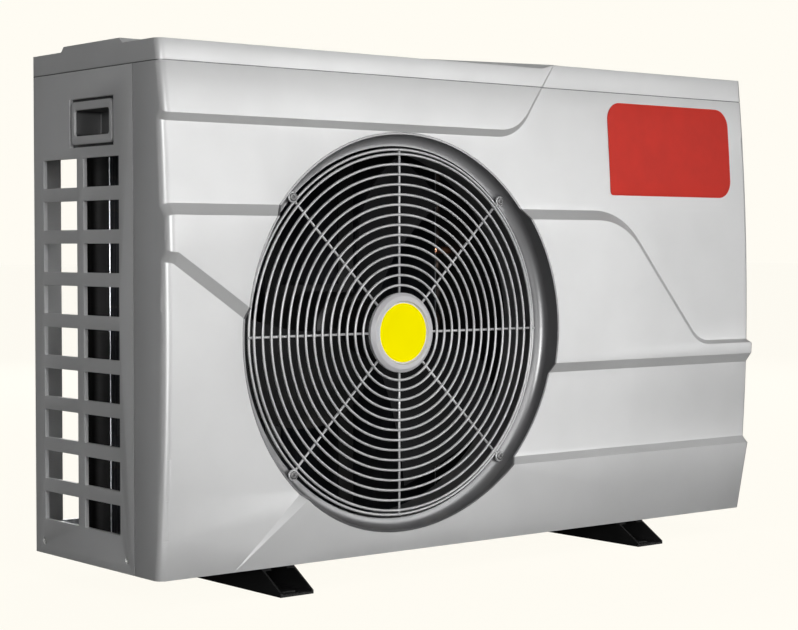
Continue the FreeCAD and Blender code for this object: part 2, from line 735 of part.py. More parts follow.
def fan_grille():
    """Welded wire guard: concentric rings on eight spokes, a rim and four screw eyes."""
    y = f"{FRONT} + grille_y"
    spoke_y = f"{y} + 2.8"
    hub, rim, eye = 45, 219.6, 5.2
    wires = []
    for index in range(round(value("ring_count"))):
        radius = f"first_ring + {index} * ring_pitch"
        wires.append(torus("fan_x", y, "fan_z", radius, "wire_radius"))
    wires.append(torus("fan_x", f"{y} + 2.6", "fan_z", rim, "wire_radius"))
    wires.append(torus("fan_x", spoke_y, "fan_z", hub, "wire_radius"))
    for index in range(8):
        spoke = doc.addObject("Part::Cylinder", "spoke")
        turn = FreeCAD.Rotation(V(0, 1, 0), 45 * index)
        spoke.Placement.Rotation = turn
        out = turn.multVec(V(0, 0, 1))
        bind(spoke, x=f"fan_x + {hub} * {out.x:.5f}", y=spoke_y, z=f"fan_z + {hub} * {out.z:.5f}",
             Radius="1.5", Height=rim - hub)
        wires.append(spoke)
    for x, z in fixing_spots():
        wires.append(torus(x, f"{y} + 0.1", z, eye, "1.5"))
    node(fuse(*wires), "fan_grille")
    screws = [bolt(x, f"{y} - 1.4", z, "Y", "2.2", "16", "4.8", "2") for x, z in fixing_spots()]
    node(group(*screws), "grille_screws")


def grille_cap():
    """The dished disc over the middle of the guard, and the plain disc stuck on it."""
    cap = turned("grille_cap", [
        ("0", "7"), ("label_radius + 1.5", "7"), ("label_radius + 3", "5"), ("cap_radius - 4", "5"),
        ("cap_radius", "9"), ("cap_radius", "13.2"), ("0", "13.2")], "Y", "fan_x", FRONT, "fan_z")
    rim_length = 2 * math.pi * value("cap_radius - 4")
    round_body(cap, "2.5", lambda edge: abs(edge.Length - rim_length) < 1)
    turned("cap_label", [("0", "6.2"), ("label_radius - 0.4", "6.2"), ("label_radius", "6.6"),
                         ("label_radius", "7"), ("0", "7")], "Y", "fan_x", FRONT, "fan_z")


def fan_blade():
    """One swept blade: curved sections from the hub out, trimmed to the blade circle."""
    camber, thickness, disc_depth = 0.09, 3, 64
    root, low = (34, 0, 62, 40), (90, 5, 118, 30)
    high, tip = (150, 40, 170, 21), (226, 148, 222, 16)
    sections = []
    for radius, sweep, chord, pitch in (root, low, high, tip):
        angle = math.radians(pitch)
        along = V(math.cos(angle), math.sin(angle), 0) * (chord / 2)
        bow = V(-math.sin(angle), math.cos(angle), 0)
        middle = V(sweep, disc_depth, 0)
        front = [middle - along, middle + bow * chord * camber, middle + along]
        back = [spot + bow * thickness for spot in front]
        curves = [Part.Arc(*front), Part.LineSegment(front[2], back[2]),
                  Part.Arc(*reversed(back)), Part.LineSegment(back[0], front[0])]
        wire = Part.Wire([curve.toShape() for curve in curves])
        wire.translate(V(0, 0, radius))
        sections.append(wire)
    return Part.makeLoft(sections, True, False)


def fan_rotor():
    """A three-bladed axial fan, moulded with its hub."""
    bore, inside = "shaft_radius + running_gap", "hub_radius - 4"
    hub = turned("hub_turning", [
        (bore, "30"), ("hub_radius - 5", "30"), ("hub_radius", "35"), ("hub_radius", "92"),
        (inside, "92"), (inside, "40"), ("12", "40"), ("12", "80"), (bore, "80")],
        "Y", "fan_x", FRONT, "fan_z")
    nodes.remove(hub)
    one = shape_feature("blade_blank", fan_blade())
    bind(one, x="fan_x", y=FRONT, z="fan_z")
    rim = cut(cylinder("fan_x", FRONT, "fan_z", "blade_radius", "150", "Y"),
              cylinder("fan_x", f"{FRONT} - 1", "fan_z", "hub_radius - 2", "160", "Y"))
    trimmed = common(one, rim)
    doc.recompute()
    count = round(value("blade_count"))
    centre = V(value("fan_x"), 0, value("fan_z"))
    blades = [trimmed]
    for index in range(1, count):
        blade = trimmed.Shape.copy()
        blade.rotate(centre, V(0, 1, 0), 360 / count * index)
        blades.append(shape_feature("blade", blade))
    node(fuse(hub, *blades), "fan_rotor")


def fan_drive():
    """The motor on its bracket, its shaft and the nut that holds the fan on."""
    at_fan = ("Y", "fan_x", FRONT, "fan_z")
    bore, r = "shaft_radius + running_gap", "motor_radius"
    turned("motor_shaft", [("0", "22"), ("shaft_radius", "22"), ("shaft_radius", "150"), ("0", "150")],
           *at_fan)
    turned("fan_nut", [(bore, "24"), ("9", "24"), ("10.5", "26"), ("10.5", "30"), (bore, "30")],
           *at_fan)
    motor = turned("motor_turning", [
        (bore, "100"), ("13", "100"), ("13", "112"), (f"{r} - 6", "112"), (r, "118"), (r, "190"),
        (f"{r} - 4", "196"), ("0", "196"), ("0", "152"), (bore, "152")], *at_fan)
    nodes.remove(motor)
    spots = motor_screw_spots()
    threads = [cylinder(x, f"{FRONT} + 184", z, "2.2", "14", "Y") for x, z in spots]
    node(cut(motor, *threads), "fan_motor")

    back, tall = f"{FRONT} + 196", f"590 - {PAN_FLOOR}"
    straps = [box(f"fan_x {side} 58 - 12", back, PAN_FLOOR, "24", "2", tall) for side in "-+"]
    plate = box("fan_x - 70", back, "fan_z - 55", "140", "2", "110")
    rails = [box("fan_x - 70", f"{back} + 2", height, "140", "12", "2")
             for height in ("588", PAN_FLOOR)]
    bores = [cylinder(x, f"{FRONT} + 190", z, "2.6", "20", "Y") for x, z in spots]
    node(cut(fuse(plate, *straps, *rails), *bores), "motor_bracket")
    screws = [bolt(x, f"{FRONT} + 198", z, "-Y", "2.1", "12", "4.5", "2.5") for x, z in spots]
    node(group(*screws), "motor_screws")


def motor_screw_spots():
    return [(f"fan_x {right} 28", f"fan_z {up} 28") for right in "-+" for up in "-+"]


def fan_group():
    fan_shroud()
    fan_grille()
    grille_cap()
    fan_rotor()
    fan_drive()


# ---------------------------------------------------------------- coil and partition
def coil_group():
    """The finned coil across the back, its end plates and its return bends."""
    y = f"({BACK} - coil_back - coil_deep)"
    left, right = f"({LEFT} + coil_left)", f"({LEFT} + coil_right)"
    tall = "coil_top - coil_bottom"
    node(group(box(left, y, "coil_bottom", f"{right} - {left}", "coil_deep", tall)), "coil_fins")
    for name, x, foot_x in (("coil_end_left", f"{left} - sheet", left),
                            ("coil_end_right", right, f"{right} + sheet")):
        plate = box(x, y, PAN_FLOOR, "sheet", "coil_deep", f"coil_top - {PAN_FLOOR}")
        foot_lip = box(foot_x, y, PAN_FLOOR, "12", "coil_deep", "sheet")
        node(fuse(plate, foot_lip), name)
    bends = []
    for index in range(round(value("coil_rows"))):
        z = coil_height(index + 0.5)
        for x, spin in ((f"{left} - sheet", 180), (f"{right} + sheet", 0)):
            half = doc.addObject("Part::Torus", "return_bend")
            half.Placement.Rotation = FreeCAD.Rotation(V(1, 0, 0), 90).multiply(
                FreeCAD.Rotation(V(0, 0, 1), spin - 90))
            half.Angle3 = 180
            bends.append(bind(half, x=x, y=f"{y} + 11", z=z,
                              Radius1="bend_radius", Radius2="tube_radius"))
    node(group(*bends), "coil_bends")
    bend_cover(left, y)


def coil_height(rows):
    """The height above the ground of a number of rows up the coil."""
    return f"(coil_bottom + {rows} * (coil_top - coil_bottom) / coil_rows)"


def bend_cover(coil_edge, y):
    """A black channel with one round corner that hides the bends behind the side's slots."""
    wide, height = 23.5, f"coil_top - {PAN_FLOOR}"
    skin = 1

    def round_corner(edge):
        middle = edge.CenterOfMass
        return runs_along(edge, "z") and middle.y < value(y) + 3 and middle.x < value(coil_edge) - 15

    outer = box(f"{coil_edge} - sheet - {wide}", y, PAN_FLOOR, wide, "coil_deep", height)
    inner = box(f"{coil_edge} - sheet - {wide} + {skin}", f"{y} + {skin}", f"{PAN_FLOOR} - 1",
                wide, f"coil_deep - 2 * {skin}", f"{height} + 2")
    node(cut(fillet(outer, 19, round_corner), fillet(inner, 18, round_corner)), "bend_cover")


def partition_plate():
    """The sheet wall between the fan's side and the compressor's side."""
    x, y = f"({LEFT} + partition)", f"({FRONT} + 22)"
    deep = "case_depth - 22 - coil_back"
    wall = box(x, y, PAN_FLOOR, "sheet", deep, f"594 - {PAN_FLOOR}")
    foot_lip = box(f"{x} + sheet", y, PAN_FLOOR, "12", deep, "sheet")
    holes = [cylinder(f"{x} - 5", f"{FRONT} + coil_pipe_y", coil_height(row), "8", "10", "X")
             for row in (GAS_ROW, LIQUID_ROW)]
    node(cut(fuse(wall, foot_lip), *holes), "partition_plate")


# ---------------------------------------------------------------- refrigerant circuit
def at(x, y, z=0):
    """A place in the casing, from its left side, its front plane and the ground."""
    return V(value(LEFT) + x, value(FRONT) + y, z)


def tube(route, radius, bend):
    """A bent tube: straight runs joined by arcs of one bend radius."""
    edges = []
    start = route[0]
    for before, corner, after in zip(route, route[1:], route[2:]):
        towards, away = (before - corner).normalize(), (after - corner).normalize()
        half = towards.getAngle(away) / 2
        reach = bend / math.tan(half)
        first, last = corner + towards * reach, corner + away * reach
        middle = corner + (towards + away).normalize() * (bend / math.sin(half) - bend)
        edges.append(Part.LineSegment(start, first).toShape())
        edges.append(Part.Arc(first, middle, last).toShape())
        start = last
    edges.append(Part.LineSegment(start, route[-1]).toShape())
    path = Part.Wire(edges)
    ring = Part.Wire([Part.Circle(route[0], route[1] - route[0], radius).toShape()])
    return path.makePipeShell([ring], True, False)


def compressor_group():
    x, y = f"{LEFT} + compressor_x", f"{FRONT} + compressor_y"
    r = "compressor_radius"
    shell = turned("compressor_shell", [
        ("0", "58"), (f"{r} - 14", "58"), (r, "72"), (r, "322"), (f"{r} - 10", "338"),
        (f"{r} - 34", "347"), ("0", "350")], "Z", x, y)
    nodes.remove(shell)
    base = 54
    spots = []
    for index in range(3):
        turn = math.radians(120 * index + 60)
        spots.append((f"{x} + {math.cos(turn):.5f} * ({r} + 14)",
                      f"{y} + {math.sin(turn):.5f} * ({r} + 14)"))
    feet = [cylinder(a, b, base, "14", "3") for a, b in spots]
    plate = cylinder(x, y, base, f"{r} + 6", "5")
    holes = [cylinder(a, b, base - 4, "5.1", "12") for a, b in spots]
    discharge = cylinder(f"{x} + 20", y, "340", "tube_radius", "20")
    node(cut(fuse(shell, plate, *feet, discharge), *holes), "compressor")
    cushions = []
    for a, b in spots:
        block = cylinder(a, b, PAN_FLOOR, "11", f"{base} - {PAN_FLOOR}")
        collar = cylinder(a, b, base, "5", "4")
        cushions.append(cut(fuse(block, collar), cylinder(a, b, "20", "3.2", "60")))
    node(group(*cushions), "compressor_cushions")
    bolts = [bolt(a, b, base + 4, "-Z", "3", "28", "8", "4", 6) for a, b in spots]
    node(group(*bolts), "compressor_bolts")
    cap = box(f"{x} - 40", f"{y} - 20", "351", "40", "40", "16")
    node(fillet(cap, 5, lambda edge: runs_along(edge, "z")), "terminal_cap")
    a = f"{LEFT} + accumulator_x"
    turned("accumulator", [("0", "106"), ("16", "106"), ("accumulator_radius", "120"),
                           ("accumulator_radius", "296"), ("16", "310"), ("0", "310")], "Z", a, y)


def valve_group():
    x, y, z = f"{LEFT} + valve_x", f"{FRONT} + compressor_y", "valve_z"
    body = cylinder(f"{x} - 45", y, z, "13", "90", "X")
    stubs = [cylinder(f"{x} + {shift}", y, f"{z} - 18", "tube_radius", "12") for shift in (-25, 0, 25)]
    stubs.append(cylinder(x, y, f"{z} + 6", "tube_radius", "12"))
    coil = cylinder(x, f"{y} + 12", z, "9", "24", "Y")
    node(fuse(body, coil, *stubs), "four_way_valve")
    turned("expansion_valve", [
        ("0", "150"), ("7", "150"), ("7", "165"), ("12", "165"), ("12", "192"), ("7", "192"),
        ("7", "200"), ("0", "200")], "Z", f"{LEFT} + 665", f"{FRONT} + 130")


def pipes():
    """Copper tubes, each from port face to port face."""
    y, low, high = value("compressor_y"), value("valve_z") - 18, value("valve_z") + 18
    coil_x, coil_y = value("coil_right + sheet"), value("coil_pipe_y")
    gas_z, liquid_z = value(coil_height(GAS_ROW)), value(coil_height(LIQUID_ROW))
    runs = {
        "discharge_pipe": [[at(870, y, 360), at(870, y, 474), at(805, y, 474), at(805, y, high)]],
        "suction_pipes": [[at(805, y, low), at(805, y, 378), at(738, y, 378), at(738, y, 310)],
                          [at(738, y, 106), at(738, y, 82), at(788, y, 82)]],
        "coil_gas_pipe": [[at(780, y, low), at(780, y, gas_z), at(780, coil_y, gas_z),
                           at(coil_x, coil_y, gas_z)]],
        "exchanger_gas_pipe": [[at(830, y, low), at(830, y, 392), at(830, 205, 392),
                                at(830, 205, 345), at(773, 205, 345)]],
        "liquid_pipes": [[at(715, 147, 92), at(715, 130, 92), at(665, 130, 92), at(665, 130, 150)],
                         [at(665, 130, 200), at(665, 130, liquid_z), at(643, 130, liquid_z),
                          at(643, coil_y, liquid_z), at(coil_x, coil_y, liquid_z)]],
    }
    for name, routes in runs.items():
        bend = 8 if name == "liquid_pipes" else 11
        tubes = [shape_feature("tube", tube(route, value("tube_radius"), bend)) for route in routes]
        node(group(*tubes), name)


# ---------------------------------------------------------------- water side
def water_group():
    """The titanium exchanger's plastic shell and the two threaded unions on the right."""
    x, y = f"{LEFT} + exchanger_x", f"{FRONT} + exchanger_y"
    r = "exchanger_radius"
    shell = turned("exchanger_shell", [
        ("0", PAN_FLOOR), ("28", PAN_FLOOR), ("28", "42"), (f"{r} - 8", "42"), (r, "50"),
        (r, "366"), (f"{r} - 12", "380"), ("0", "380")], "Z", x, y)
    nodes.remove(shell)
    bands = [cylinder(x, y, z, f"{r} + 4", "12") for z in ("64", "312")]
    ports = ("inlet_z", "outlet_z")
    stubs = [cylinder(x, y, z, "25", f"{RIGHT} - 34 - ({x})", "X") for z in ports]
    blind = cylinder(x, y, "40", f"{r} - 6", "330")
    ways = [cut(cylinder(x, y, z, "19", "case_width", "X"), blind) for z in ports]
    seats = [cylinder(f"{x} + {r} - 2", y, "345", "8", "2", "X"),
             cylinder(x, f"{y} - {r}", "92", "8", "2", "Y")]
    node(cut(fuse(shell, *bands, *stubs, *seats), *ways), "heat_exchanger")
    for name, z in zip(("inlet", "outlet"), ports):
        turned(f"{name}_union", [
            ("19", "-34"), ("30", "-34"), ("30", "10"), ("33", "10"), ("33", "16"), ("30", "16"),
            ("30", "48"), ("port_radius", "48"), ("port_radius", "14"), ("19", "14")], "X", RIGHT, y, z)
        union_nut(f"{name}_nut", y, z)


def union_nut(name, y, z):
    """A hand nut with twelve grip ribs, loose round its union."""
    collar = turned("collar", [
        ("30.3", "17"), ("38", "17"), ("39.5", "19"), ("39.5", "38"), ("38", "40"), ("30.3", "40")],
        "X", RIGHT, y, z)
    nodes.remove(collar)
    ribs = []
    for index in range(12):
        turn = math.radians(30 * index)
        rib_y, rib_z = f"{y} + {math.cos(turn):.5f} * 38.6", f"{z} + {math.sin(turn):.5f} * 38.6"
        ribs.append(cylinder(f"{RIGHT} + 20", rib_y, rib_z, "3", "17", "X"))
    node(fuse(collar, *ribs), name)


# ---------------------------------------------------------------- electrics
def control_box():
    """An open steel tray under the lid, with the circuit board on it."""
    x, y, z = f"{LEFT} + partition + 2", f"{FRONT} + 28", "500"
    wide, deep, tall = "285", "236", "84"
    outer = box(x, y, z, wide, deep, tall)
    inner = box(f"{x} + sheet", f"{y} + sheet", f"{z} + sheet",
                f"{wide} - 2 * sheet", f"{deep} - 2 * sheet", tall)
    node(cut(outer, inner), "control_box")
    board_z = f"{z} + sheet"
    studs = [cylinder(f"{x} + {a}", f"{y} + {b}", board_z, "4", "10")
             for a in (30, 255) for b in (30, 206)]
    board = box(f"{x} + 16", f"{y} + 16", f"{board_z} + 10", "253", "204", "1.6")
    on_top = f"{board_z} + 11.6"
    parts = [box(f"{x} + 40", f"{y} + 40", on_top, "90", "60", "32"),
             box(f"{x} + 160", f"{y} + 150", on_top, "100", "24", "14"),
             box(f"{x} + 60", f"{y} + 130", on_top, "24", "30", "18")]
    for index in range(3):
        parts.append(cylinder(f"{x} + {170 + 34 * index}", f"{y} + 70", on_top, "14", "40"))
    node(fuse(board, *studs, *parts), "circuit_board")


def controller():
    """The display's housing on the right side, its screen and the hinged flap over it."""
    y, z = f"{FRONT} + control_y", "control_z"
    wide, tall = "control_wide", "control_tall"

    def plate(start, deep, across, up, shift="0"):
        """A plate centred on the display, a distance out from the side's face."""
        low = f"{z} + {shift} - ({up}) / 2"
        return box(f"{RIGHT} + {start}", f"{y} - ({across}) / 2", low, deep, across, up)

    housing = fillet(plate("0", "8", wide, tall), 6, lambda edge: runs_along(edge, "x"))
    ears = [box(RIGHT, f"{y} {side} ({wide} / 2 + 2) - 2.5", f"{z} + {tall} / 2 - 8", "12", "5", "24")
            for side in "-+"]
    pin_x, pin_z = f"{RIGHT} + 7.5", f"{z} + {tall} / 2 + 6"
    bore = cylinder(pin_x, f"{y} - 100", pin_z, "2 + running_gap", "200", "Y")
    window = plate("5.5", "6", f"{wide} - 24", f"{tall} - 28")
    node(cut(fuse(housing, *ears), bore, window), "controller_housing")
    screen = plate("5.5", "1.5", f"{wide} - 24.6", f"{tall} - 28.6")
    node(fillet(screen, 2, lambda edge: runs_along(edge, "x")), "display_screen")
    barrel = cylinder(pin_x, f"{y} - {wide} / 2 + 1", pin_z, "4", f"{wide} - 2", "Y")
    pin = cylinder(pin_x, f"{y} - {wide} / 2 - 4.4", pin_z, "2", f"{wide} + 8.8", "Y")
    lid = plate("9", "2.5", f"{wide} - 4", f"{tall} + 5", "3.5")
    lid = fillet(lid, 1, lambda edge: runs_along(edge, "y"))
    node(fuse(barrel, pin, lid), "display_flap")


def service_cover():
    """The plate over the supply terminals, its screws and the gland below it."""
    body = new_body("service_cover")
    outline = attach(body, "outline", "YZ_Plane", RIGHT)
    add_polygon(outline, rectangle(f"{FRONT} + cover_y", "cover_z", "76", "150"))
    pad(body, outline, "6")
    round_body(body, "8", lambda edge: runs_along(edge, "x"))
    spots = [(f"{FRONT} + cover_y {across} 31", f"cover_z {up} 67")
             for across in "-+" for up in "-+"]
    holes = attach(body, "screw_holes", "YZ_Plane", RIGHT)
    for y, z in spots:
        add_circle(holes, y, z, "2.2")
    pocket(body, holes)
    screws = [bolt(f"{RIGHT} + 6", y, z, "-X", "2.1", "6", "4", "1.8") for y, z in spots]
    node(group(*screws), "cover_screws")
    turned("cable_gland", [
        ("6", "-9"), ("8.8", "-9"), ("8.8", "0"), ("14", "0"), ("14", "7"), ("12", "8"), ("12", "20"),
        ("9", "26"), ("6", "26")], "X", RIGHT, f"{FRONT} + cover_y", "gland_z")


def case_screws():
    screws = []
    for edge, axis, inset in ((LEFT, "X", "+ 2"), (RIGHT, "-X", "- 2")):
        for y, z in case_screw_spots():
            screws.append(bolt(f"{edge} {inset}", y, z, axis, "2", "3.5", "3.9", "1.6"))
    node(group(*screws), "case_screws")


def inside():
    coil_group()
    partition_plate()
    compressor_group()
    valve_group()
    pipes()
    water_group()
    control_box()


def electrics():
    controller()
    service_cover()
    case_screws()


# ---------------------------------------------------------------- build, test and write
def check_document():
    """Stop on any failed object or unsound shape."""
    for thing in doc.Objects:
        if any(word in thing.State for word in ("Invalid", "Error")):
            raise RuntimeError(f"{thing.Label} failed: {thing.State}")
    for piece in nodes:
        if piece.Shape.isNull() or not piece.Shape.isValid() or not piece.Shape.Solids:
            raise RuntimeError(f"{piece.Label} is not a sound solid")


def write_parts():
    os.makedirs("parts", exist_ok=True)
    for piece in nodes:
        piece.Shape.exportStep(f"parts/{piece.Label}.step")


casing()
base()
fan_group()
inside()
electrics()
doc.recompute()
check_document()
write_parts()
print(f"{len(nodes)} nodes, {sum(len(piece.Shape.Solids) for piece in nodes)} solids")
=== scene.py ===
import math

import bmesh
import bpy
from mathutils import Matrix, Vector


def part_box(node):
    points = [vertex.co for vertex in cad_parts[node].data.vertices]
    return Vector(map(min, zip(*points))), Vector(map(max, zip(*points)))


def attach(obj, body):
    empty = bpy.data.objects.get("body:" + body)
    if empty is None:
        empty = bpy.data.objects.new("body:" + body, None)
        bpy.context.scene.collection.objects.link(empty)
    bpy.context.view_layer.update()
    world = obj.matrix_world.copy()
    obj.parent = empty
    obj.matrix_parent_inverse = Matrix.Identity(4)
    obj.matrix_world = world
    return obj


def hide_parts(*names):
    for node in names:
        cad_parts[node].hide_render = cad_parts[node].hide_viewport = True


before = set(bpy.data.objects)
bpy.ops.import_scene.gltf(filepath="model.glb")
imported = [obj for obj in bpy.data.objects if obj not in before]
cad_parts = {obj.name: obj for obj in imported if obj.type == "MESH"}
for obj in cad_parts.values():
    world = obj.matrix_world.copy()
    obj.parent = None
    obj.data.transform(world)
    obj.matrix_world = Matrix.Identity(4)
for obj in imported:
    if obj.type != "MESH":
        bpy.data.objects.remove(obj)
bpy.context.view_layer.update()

MM = 0.001

# Colours are linear red, green and blue.
ANTHRACITE = (0.105, 0.105, 0.108)
BLACK = (0.013, 0.013, 0.014)
SHELL_GREY = (0.60, 0.60, 0.598)
ZINC = (0.50, 0.51, 0.53)
DUST = (0.42, 0.38, 0.32)
# Painted shade for the gap of the seam under the lid.
SEAM_PAINTED_SHADE = (0.05, 0.05, 0.05)
CREAM = (1.0, 0.974, 0.898)

SHADE_BLEND = 0.3 * MM            # how softly the painted shade's colour starts
GRAIN_SIZE, GRAIN_DEPTH = 0.5 * MM, 0.03 * MM
GENTLE = math.radians(24)          # an edge that turns less than this is shaded smooth


# ---------------------------------------------------------------- node trees
class Surface:
    """A procedural material: one Principled shader and the nodes that feed it."""

    def __init__(self, name, **uniform):
        self.material = bpy.data.materials.new(name)
        self.material.use_nodes = True
        self.tree = self.material.node_tree
        self.shader = self.tree.nodes["Principled BSDF"]
        for socket, amount in uniform.items():
            self.shader.inputs[socket.replace("_", " ")].default_value = amount
        self.place = self.add("ShaderNodeTexCoord").outputs["Object"]

    def add(self, kind, **settings):
        """A new node with some of its settings made."""
        node = self.tree.nodes.new(kind)
        for key, setting in settings.items():
            setattr(node, key, setting)
        return node

    def feed(self, node, values):
        """Set or link a node's inputs by name or number."""
        for key, amount in values.items():
            socket = node.inputs[key]
            if isinstance(amount, bpy.types.NodeSocket):
                self.tree.links.new(amount, socket)
            else:
                socket.default_value = amount
        return node

    def where(self, stretch):
        """The point on the piece, in metres, scaled apart along X, Y and Z."""
        if stretch == (1, 1, 1):
            return self.place
        return self.feed(self.add("ShaderNodeMapping"), {"Vector": self.place, "Scale": stretch}).outputs[0]

    def noise(self, size, detail, stretch=(1, 1, 1)):
        """Cloudy values whose blotches are about this size, in metres."""
        node = self.add("ShaderNodeTexNoise")
        self.feed(node, {"Vector": self.where(stretch), "Scale": 1 / size, "Detail": detail})
        return node.outputs["Fac"]

    def cells(self, size, feature, output):
        """A value of random cells of about this size, in metres."""
        node = self.add("ShaderNodeTexVoronoi", feature=feature)
        self.feed(node, {"Vector": self.place, "Scale": 1 / size})
        return node.outputs[output]

    def ramp(self, factor, low, high, first, second):
        """Remap a factor's low to high onto first to second, held at the ends."""
        node = self.add("ShaderNodeMapRange", clamp=True)
        self.feed(node, {"Value": factor, "From Min": low, "From Max": high,
                         "To Min": first, "To Max": second})
        return node.outputs[0]

    def maths(self, operation, first, second):
        """A sum, product or the like of two values."""
        return self.feed(self.add("ShaderNodeMath", operation=operation), {0: first, 1: second}).outputs[0]

    def mix(self, factor, first, second):
        """A colour between two colours."""
        node = self.add("ShaderNodeMix", data_type="RGBA")
        pick = {"Factor": factor}
        for key, colour in (("A", first), ("B", second)):
            pick[key] = colour if isinstance(colour, bpy.types.NodeSocket) else (*colour, 1.0)
        for key, amount in pick.items():
            socket = [item for item in node.inputs if item.name == key and item.enabled][0]
            if isinstance(amount, bpy.types.NodeSocket):
                self.tree.links.new(amount, socket)
            else:
                socket.default_value = amount
        return [item for item in node.outputs if item.enabled][0]

    def inside_of(self, low, high):
        """1 where the surface lies inside a box given by two corners, 0 outside it."""
        parts = self.feed(self.add("ShaderNodeSeparateXYZ"), {0: self.place})
        inside = 1.0
        for axis, start, end in zip("XYZ", low, high):
            for edge, step in ((start, SHADE_BLEND), (end, -SHADE_BLEND)):
                beyond = self.ramp(parts.outputs[axis], edge, edge + step, 0.0, 1.0)
                inside = self.maths("MULTIPLY", beyond, inside)
        return inside

    def edges(self, width):
        """1 on an edge, falling to 0 within a width of it."""
        rounded = self.feed(self.add("ShaderNodeBevel", samples=4), {"Radius": width}).outputs[0]
        flat = self.add("ShaderNodeNewGeometry").outputs["Normal"]
        match = self.feed(self.add("ShaderNodeVectorMath", operation="DOT_PRODUCT"), {0: rounded, 1: flat})
        return self.ramp(match.outputs["Value"], 0.995, 0.86, 0.0, 1.0)

    def facing_up(self):
        """1 on level faces, falling to 0 on steep ones."""
        normal = self.add("ShaderNodeNewGeometry").outputs["Normal"]
        parts = self.feed(self.add("ShaderNodeSeparateXYZ"), {0: normal})
        return self.ramp(parts.outputs["Z"], 0.4, 0.95, 0.0, 1.0)

    def bump(self, height, depth):
        """Relief of a depth in metres from a 0 to 1 height."""
        node = self.add("ShaderNodeBump")
        return self.feed(node, {"Height": height, "Distance": depth, "Strength": 1.0}).outputs[0]

    def finish(self, **inputs):
        """Feed the shader and hand over the material."""
        self.feed(self.shader, {name.replace("_", " "): amount for name, amount in inputs.items()})
        return self.material


# ---------------------------------------------------------------- materials
def tint(colour, amount):
    """A colour made darker or lighter."""
    return tuple(min(1.0, part * amount) for part in colour)


def moulded(name, colour, roughness, mottle=0.05, wear=0.12, dust=0.0, shade_box=None, shade_colour=BLACK,
            **uniform):
    """Injection-moulded plastic: spark-eroded grain, faint flow clouds, rubbed edges and dust on top.

    Inside a box, given by two corners, the plastic takes another, darker colour as painted
    shade: the shade on a shell's inner faces and in its pockets, or the shade down in a seam.
    """
    skin = Surface(name, **uniform)
    clouds = skin.noise(140 * MM, 3.0)
    fine = skin.noise(GRAIN_SIZE, 2.0)
    body = skin.mix(skin.ramp(clouds, 0.3, 0.7, 0.0, 1.0), tint(colour, 1 - mottle), tint(colour, 1 + mottle))
    speckled = skin.mix(skin.ramp(fine, 0.25, 0.75, 0.0, 0.10), body, tint(colour, 0.72))
    patches = skin.ramp(skin.noise(9 * MM, 4.0), 0.4, 0.7, 0.2, 1.0)
    rubbed = skin.maths("MULTIPLY", skin.edges(1.2 * MM), patches)
    paler = skin.mix(skin.maths("MULTIPLY", rubbed, wear), speckled, tint(colour, 1.35))
    drifts = skin.ramp(skin.noise(30 * MM, 5.0), 0.42, 0.75, 0.0, dust)
    settled = skin.maths("MULTIPLY", skin.facing_up(), drifts)
    final = skin.mix(settled, paler, DUST)
    # Painted shade: inside the box the colour turns dark, standing in for the shade in a seam, a pocket or on
    # a shell's inner faces.
    if shade_box:
        final = skin.mix(skin.inside_of(*shade_box), final, shade_colour)
    smear = skin.noise(45 * MM, 4.0, stretch=(1, 1, 0.35))
    rough = skin.maths("ADD", skin.ramp(smear, 0.3, 0.7, roughness - 0.045, roughness + 0.045),
                       skin.maths("MULTIPLY", settled, 0.4))
    return skin.finish(Base_Color=final, Roughness=rough, Normal=skin.bump(fine, GRAIN_DEPTH))


def powder_coat(name, colour, roughness, peel=2.2, depth=0.035, chips=0.0, **uniform):
    """Baked powder paint: orange-peel relief, tiny specks and rubbed edges. Peel and depth are in mm."""
    skin = Surface(name, **uniform)
    peel_height = skin.noise(peel * MM, 1.5)
    specks = skin.ramp(skin.noise(0.7 * MM, 1.0), 0.62, 0.72, 0.0, 0.35)
    clouds = skin.ramp(skin.noise(60 * MM, 3.0), 0.3, 0.7, 0.0, 1.0)
    body = skin.mix(clouds, tint(colour, 0.92), tint(colour, 1.08))
    speckled = skin.mix(specks, body, tint(colour, 1.5))
    patches = skin.ramp(skin.noise(5 * MM, 5.0), 0.52, 0.66, 0.0, chips)
    rubbed = skin.maths("MULTIPLY", skin.edges(0.8 * MM), patches)
    final = skin.mix(rubbed, speckled, (0.32, 0.31, 0.30))
    rough = skin.ramp(clouds, 0.0, 1.0, roughness - 0.05, roughness + 0.05)
    return skin.finish(Base_Color=final, Roughness=rough, Normal=skin.bump(peel_height, depth * MM))


def galvanised(name):
    """Hot-dip zinc: crystal spangle that changes shade from grain to grain."""
    skin = Surface(name, Metallic=0.9)
    grains = skin.cells(9 * MM, "F1", "Color")
    shade = skin.feed(skin.add("ShaderNodeSeparateXYZ"), {0: grains}).outputs["X"]
    dull = skin.ramp(skin.noise(35 * MM, 4.0), 0.35, 0.7, 0.0, 0.5)
    body = skin.mix(skin.ramp(shade, 0.0, 1.0, 0.0, 1.0), tint(ZINC, 0.78), tint(ZINC, 1.18))
    final = skin.mix(dull, body, tint(ZINC, 0.8))
    scratches = skin.noise(1.2 * MM, 3.0, stretch=(1, 1, 0.06))
    rough = skin.ramp(shade, 0.0, 1.0, 0.30, 0.48)
    return skin.finish(Base_Color=final, Roughness=rough, Normal=skin.bump(scratches, 0.012 * MM))


def turned_metal(name, colour, roughness, lines=(1, 30, 1), metallic=1.0):
    """Machined or plated metal with fine tool lines."""
    skin = Surface(name, Metallic=metallic)
    streaks = skin.noise(2 * MM, 3.0, stretch=lines)
    stains = skin.ramp(skin.noise(6 * MM, 4.0), 0.35, 0.75, 0.0, 1.0)
    body = skin.mix(stains, tint(colour, 1.06), tint(colour, 0.8))
    rough = skin.ramp(streaks, 0.3, 0.7, roughness - 0.07, roughness + 0.07)
    return skin.finish(Base_Color=body, Roughness=rough, Normal=skin.bump(streaks, 0.01 * MM))


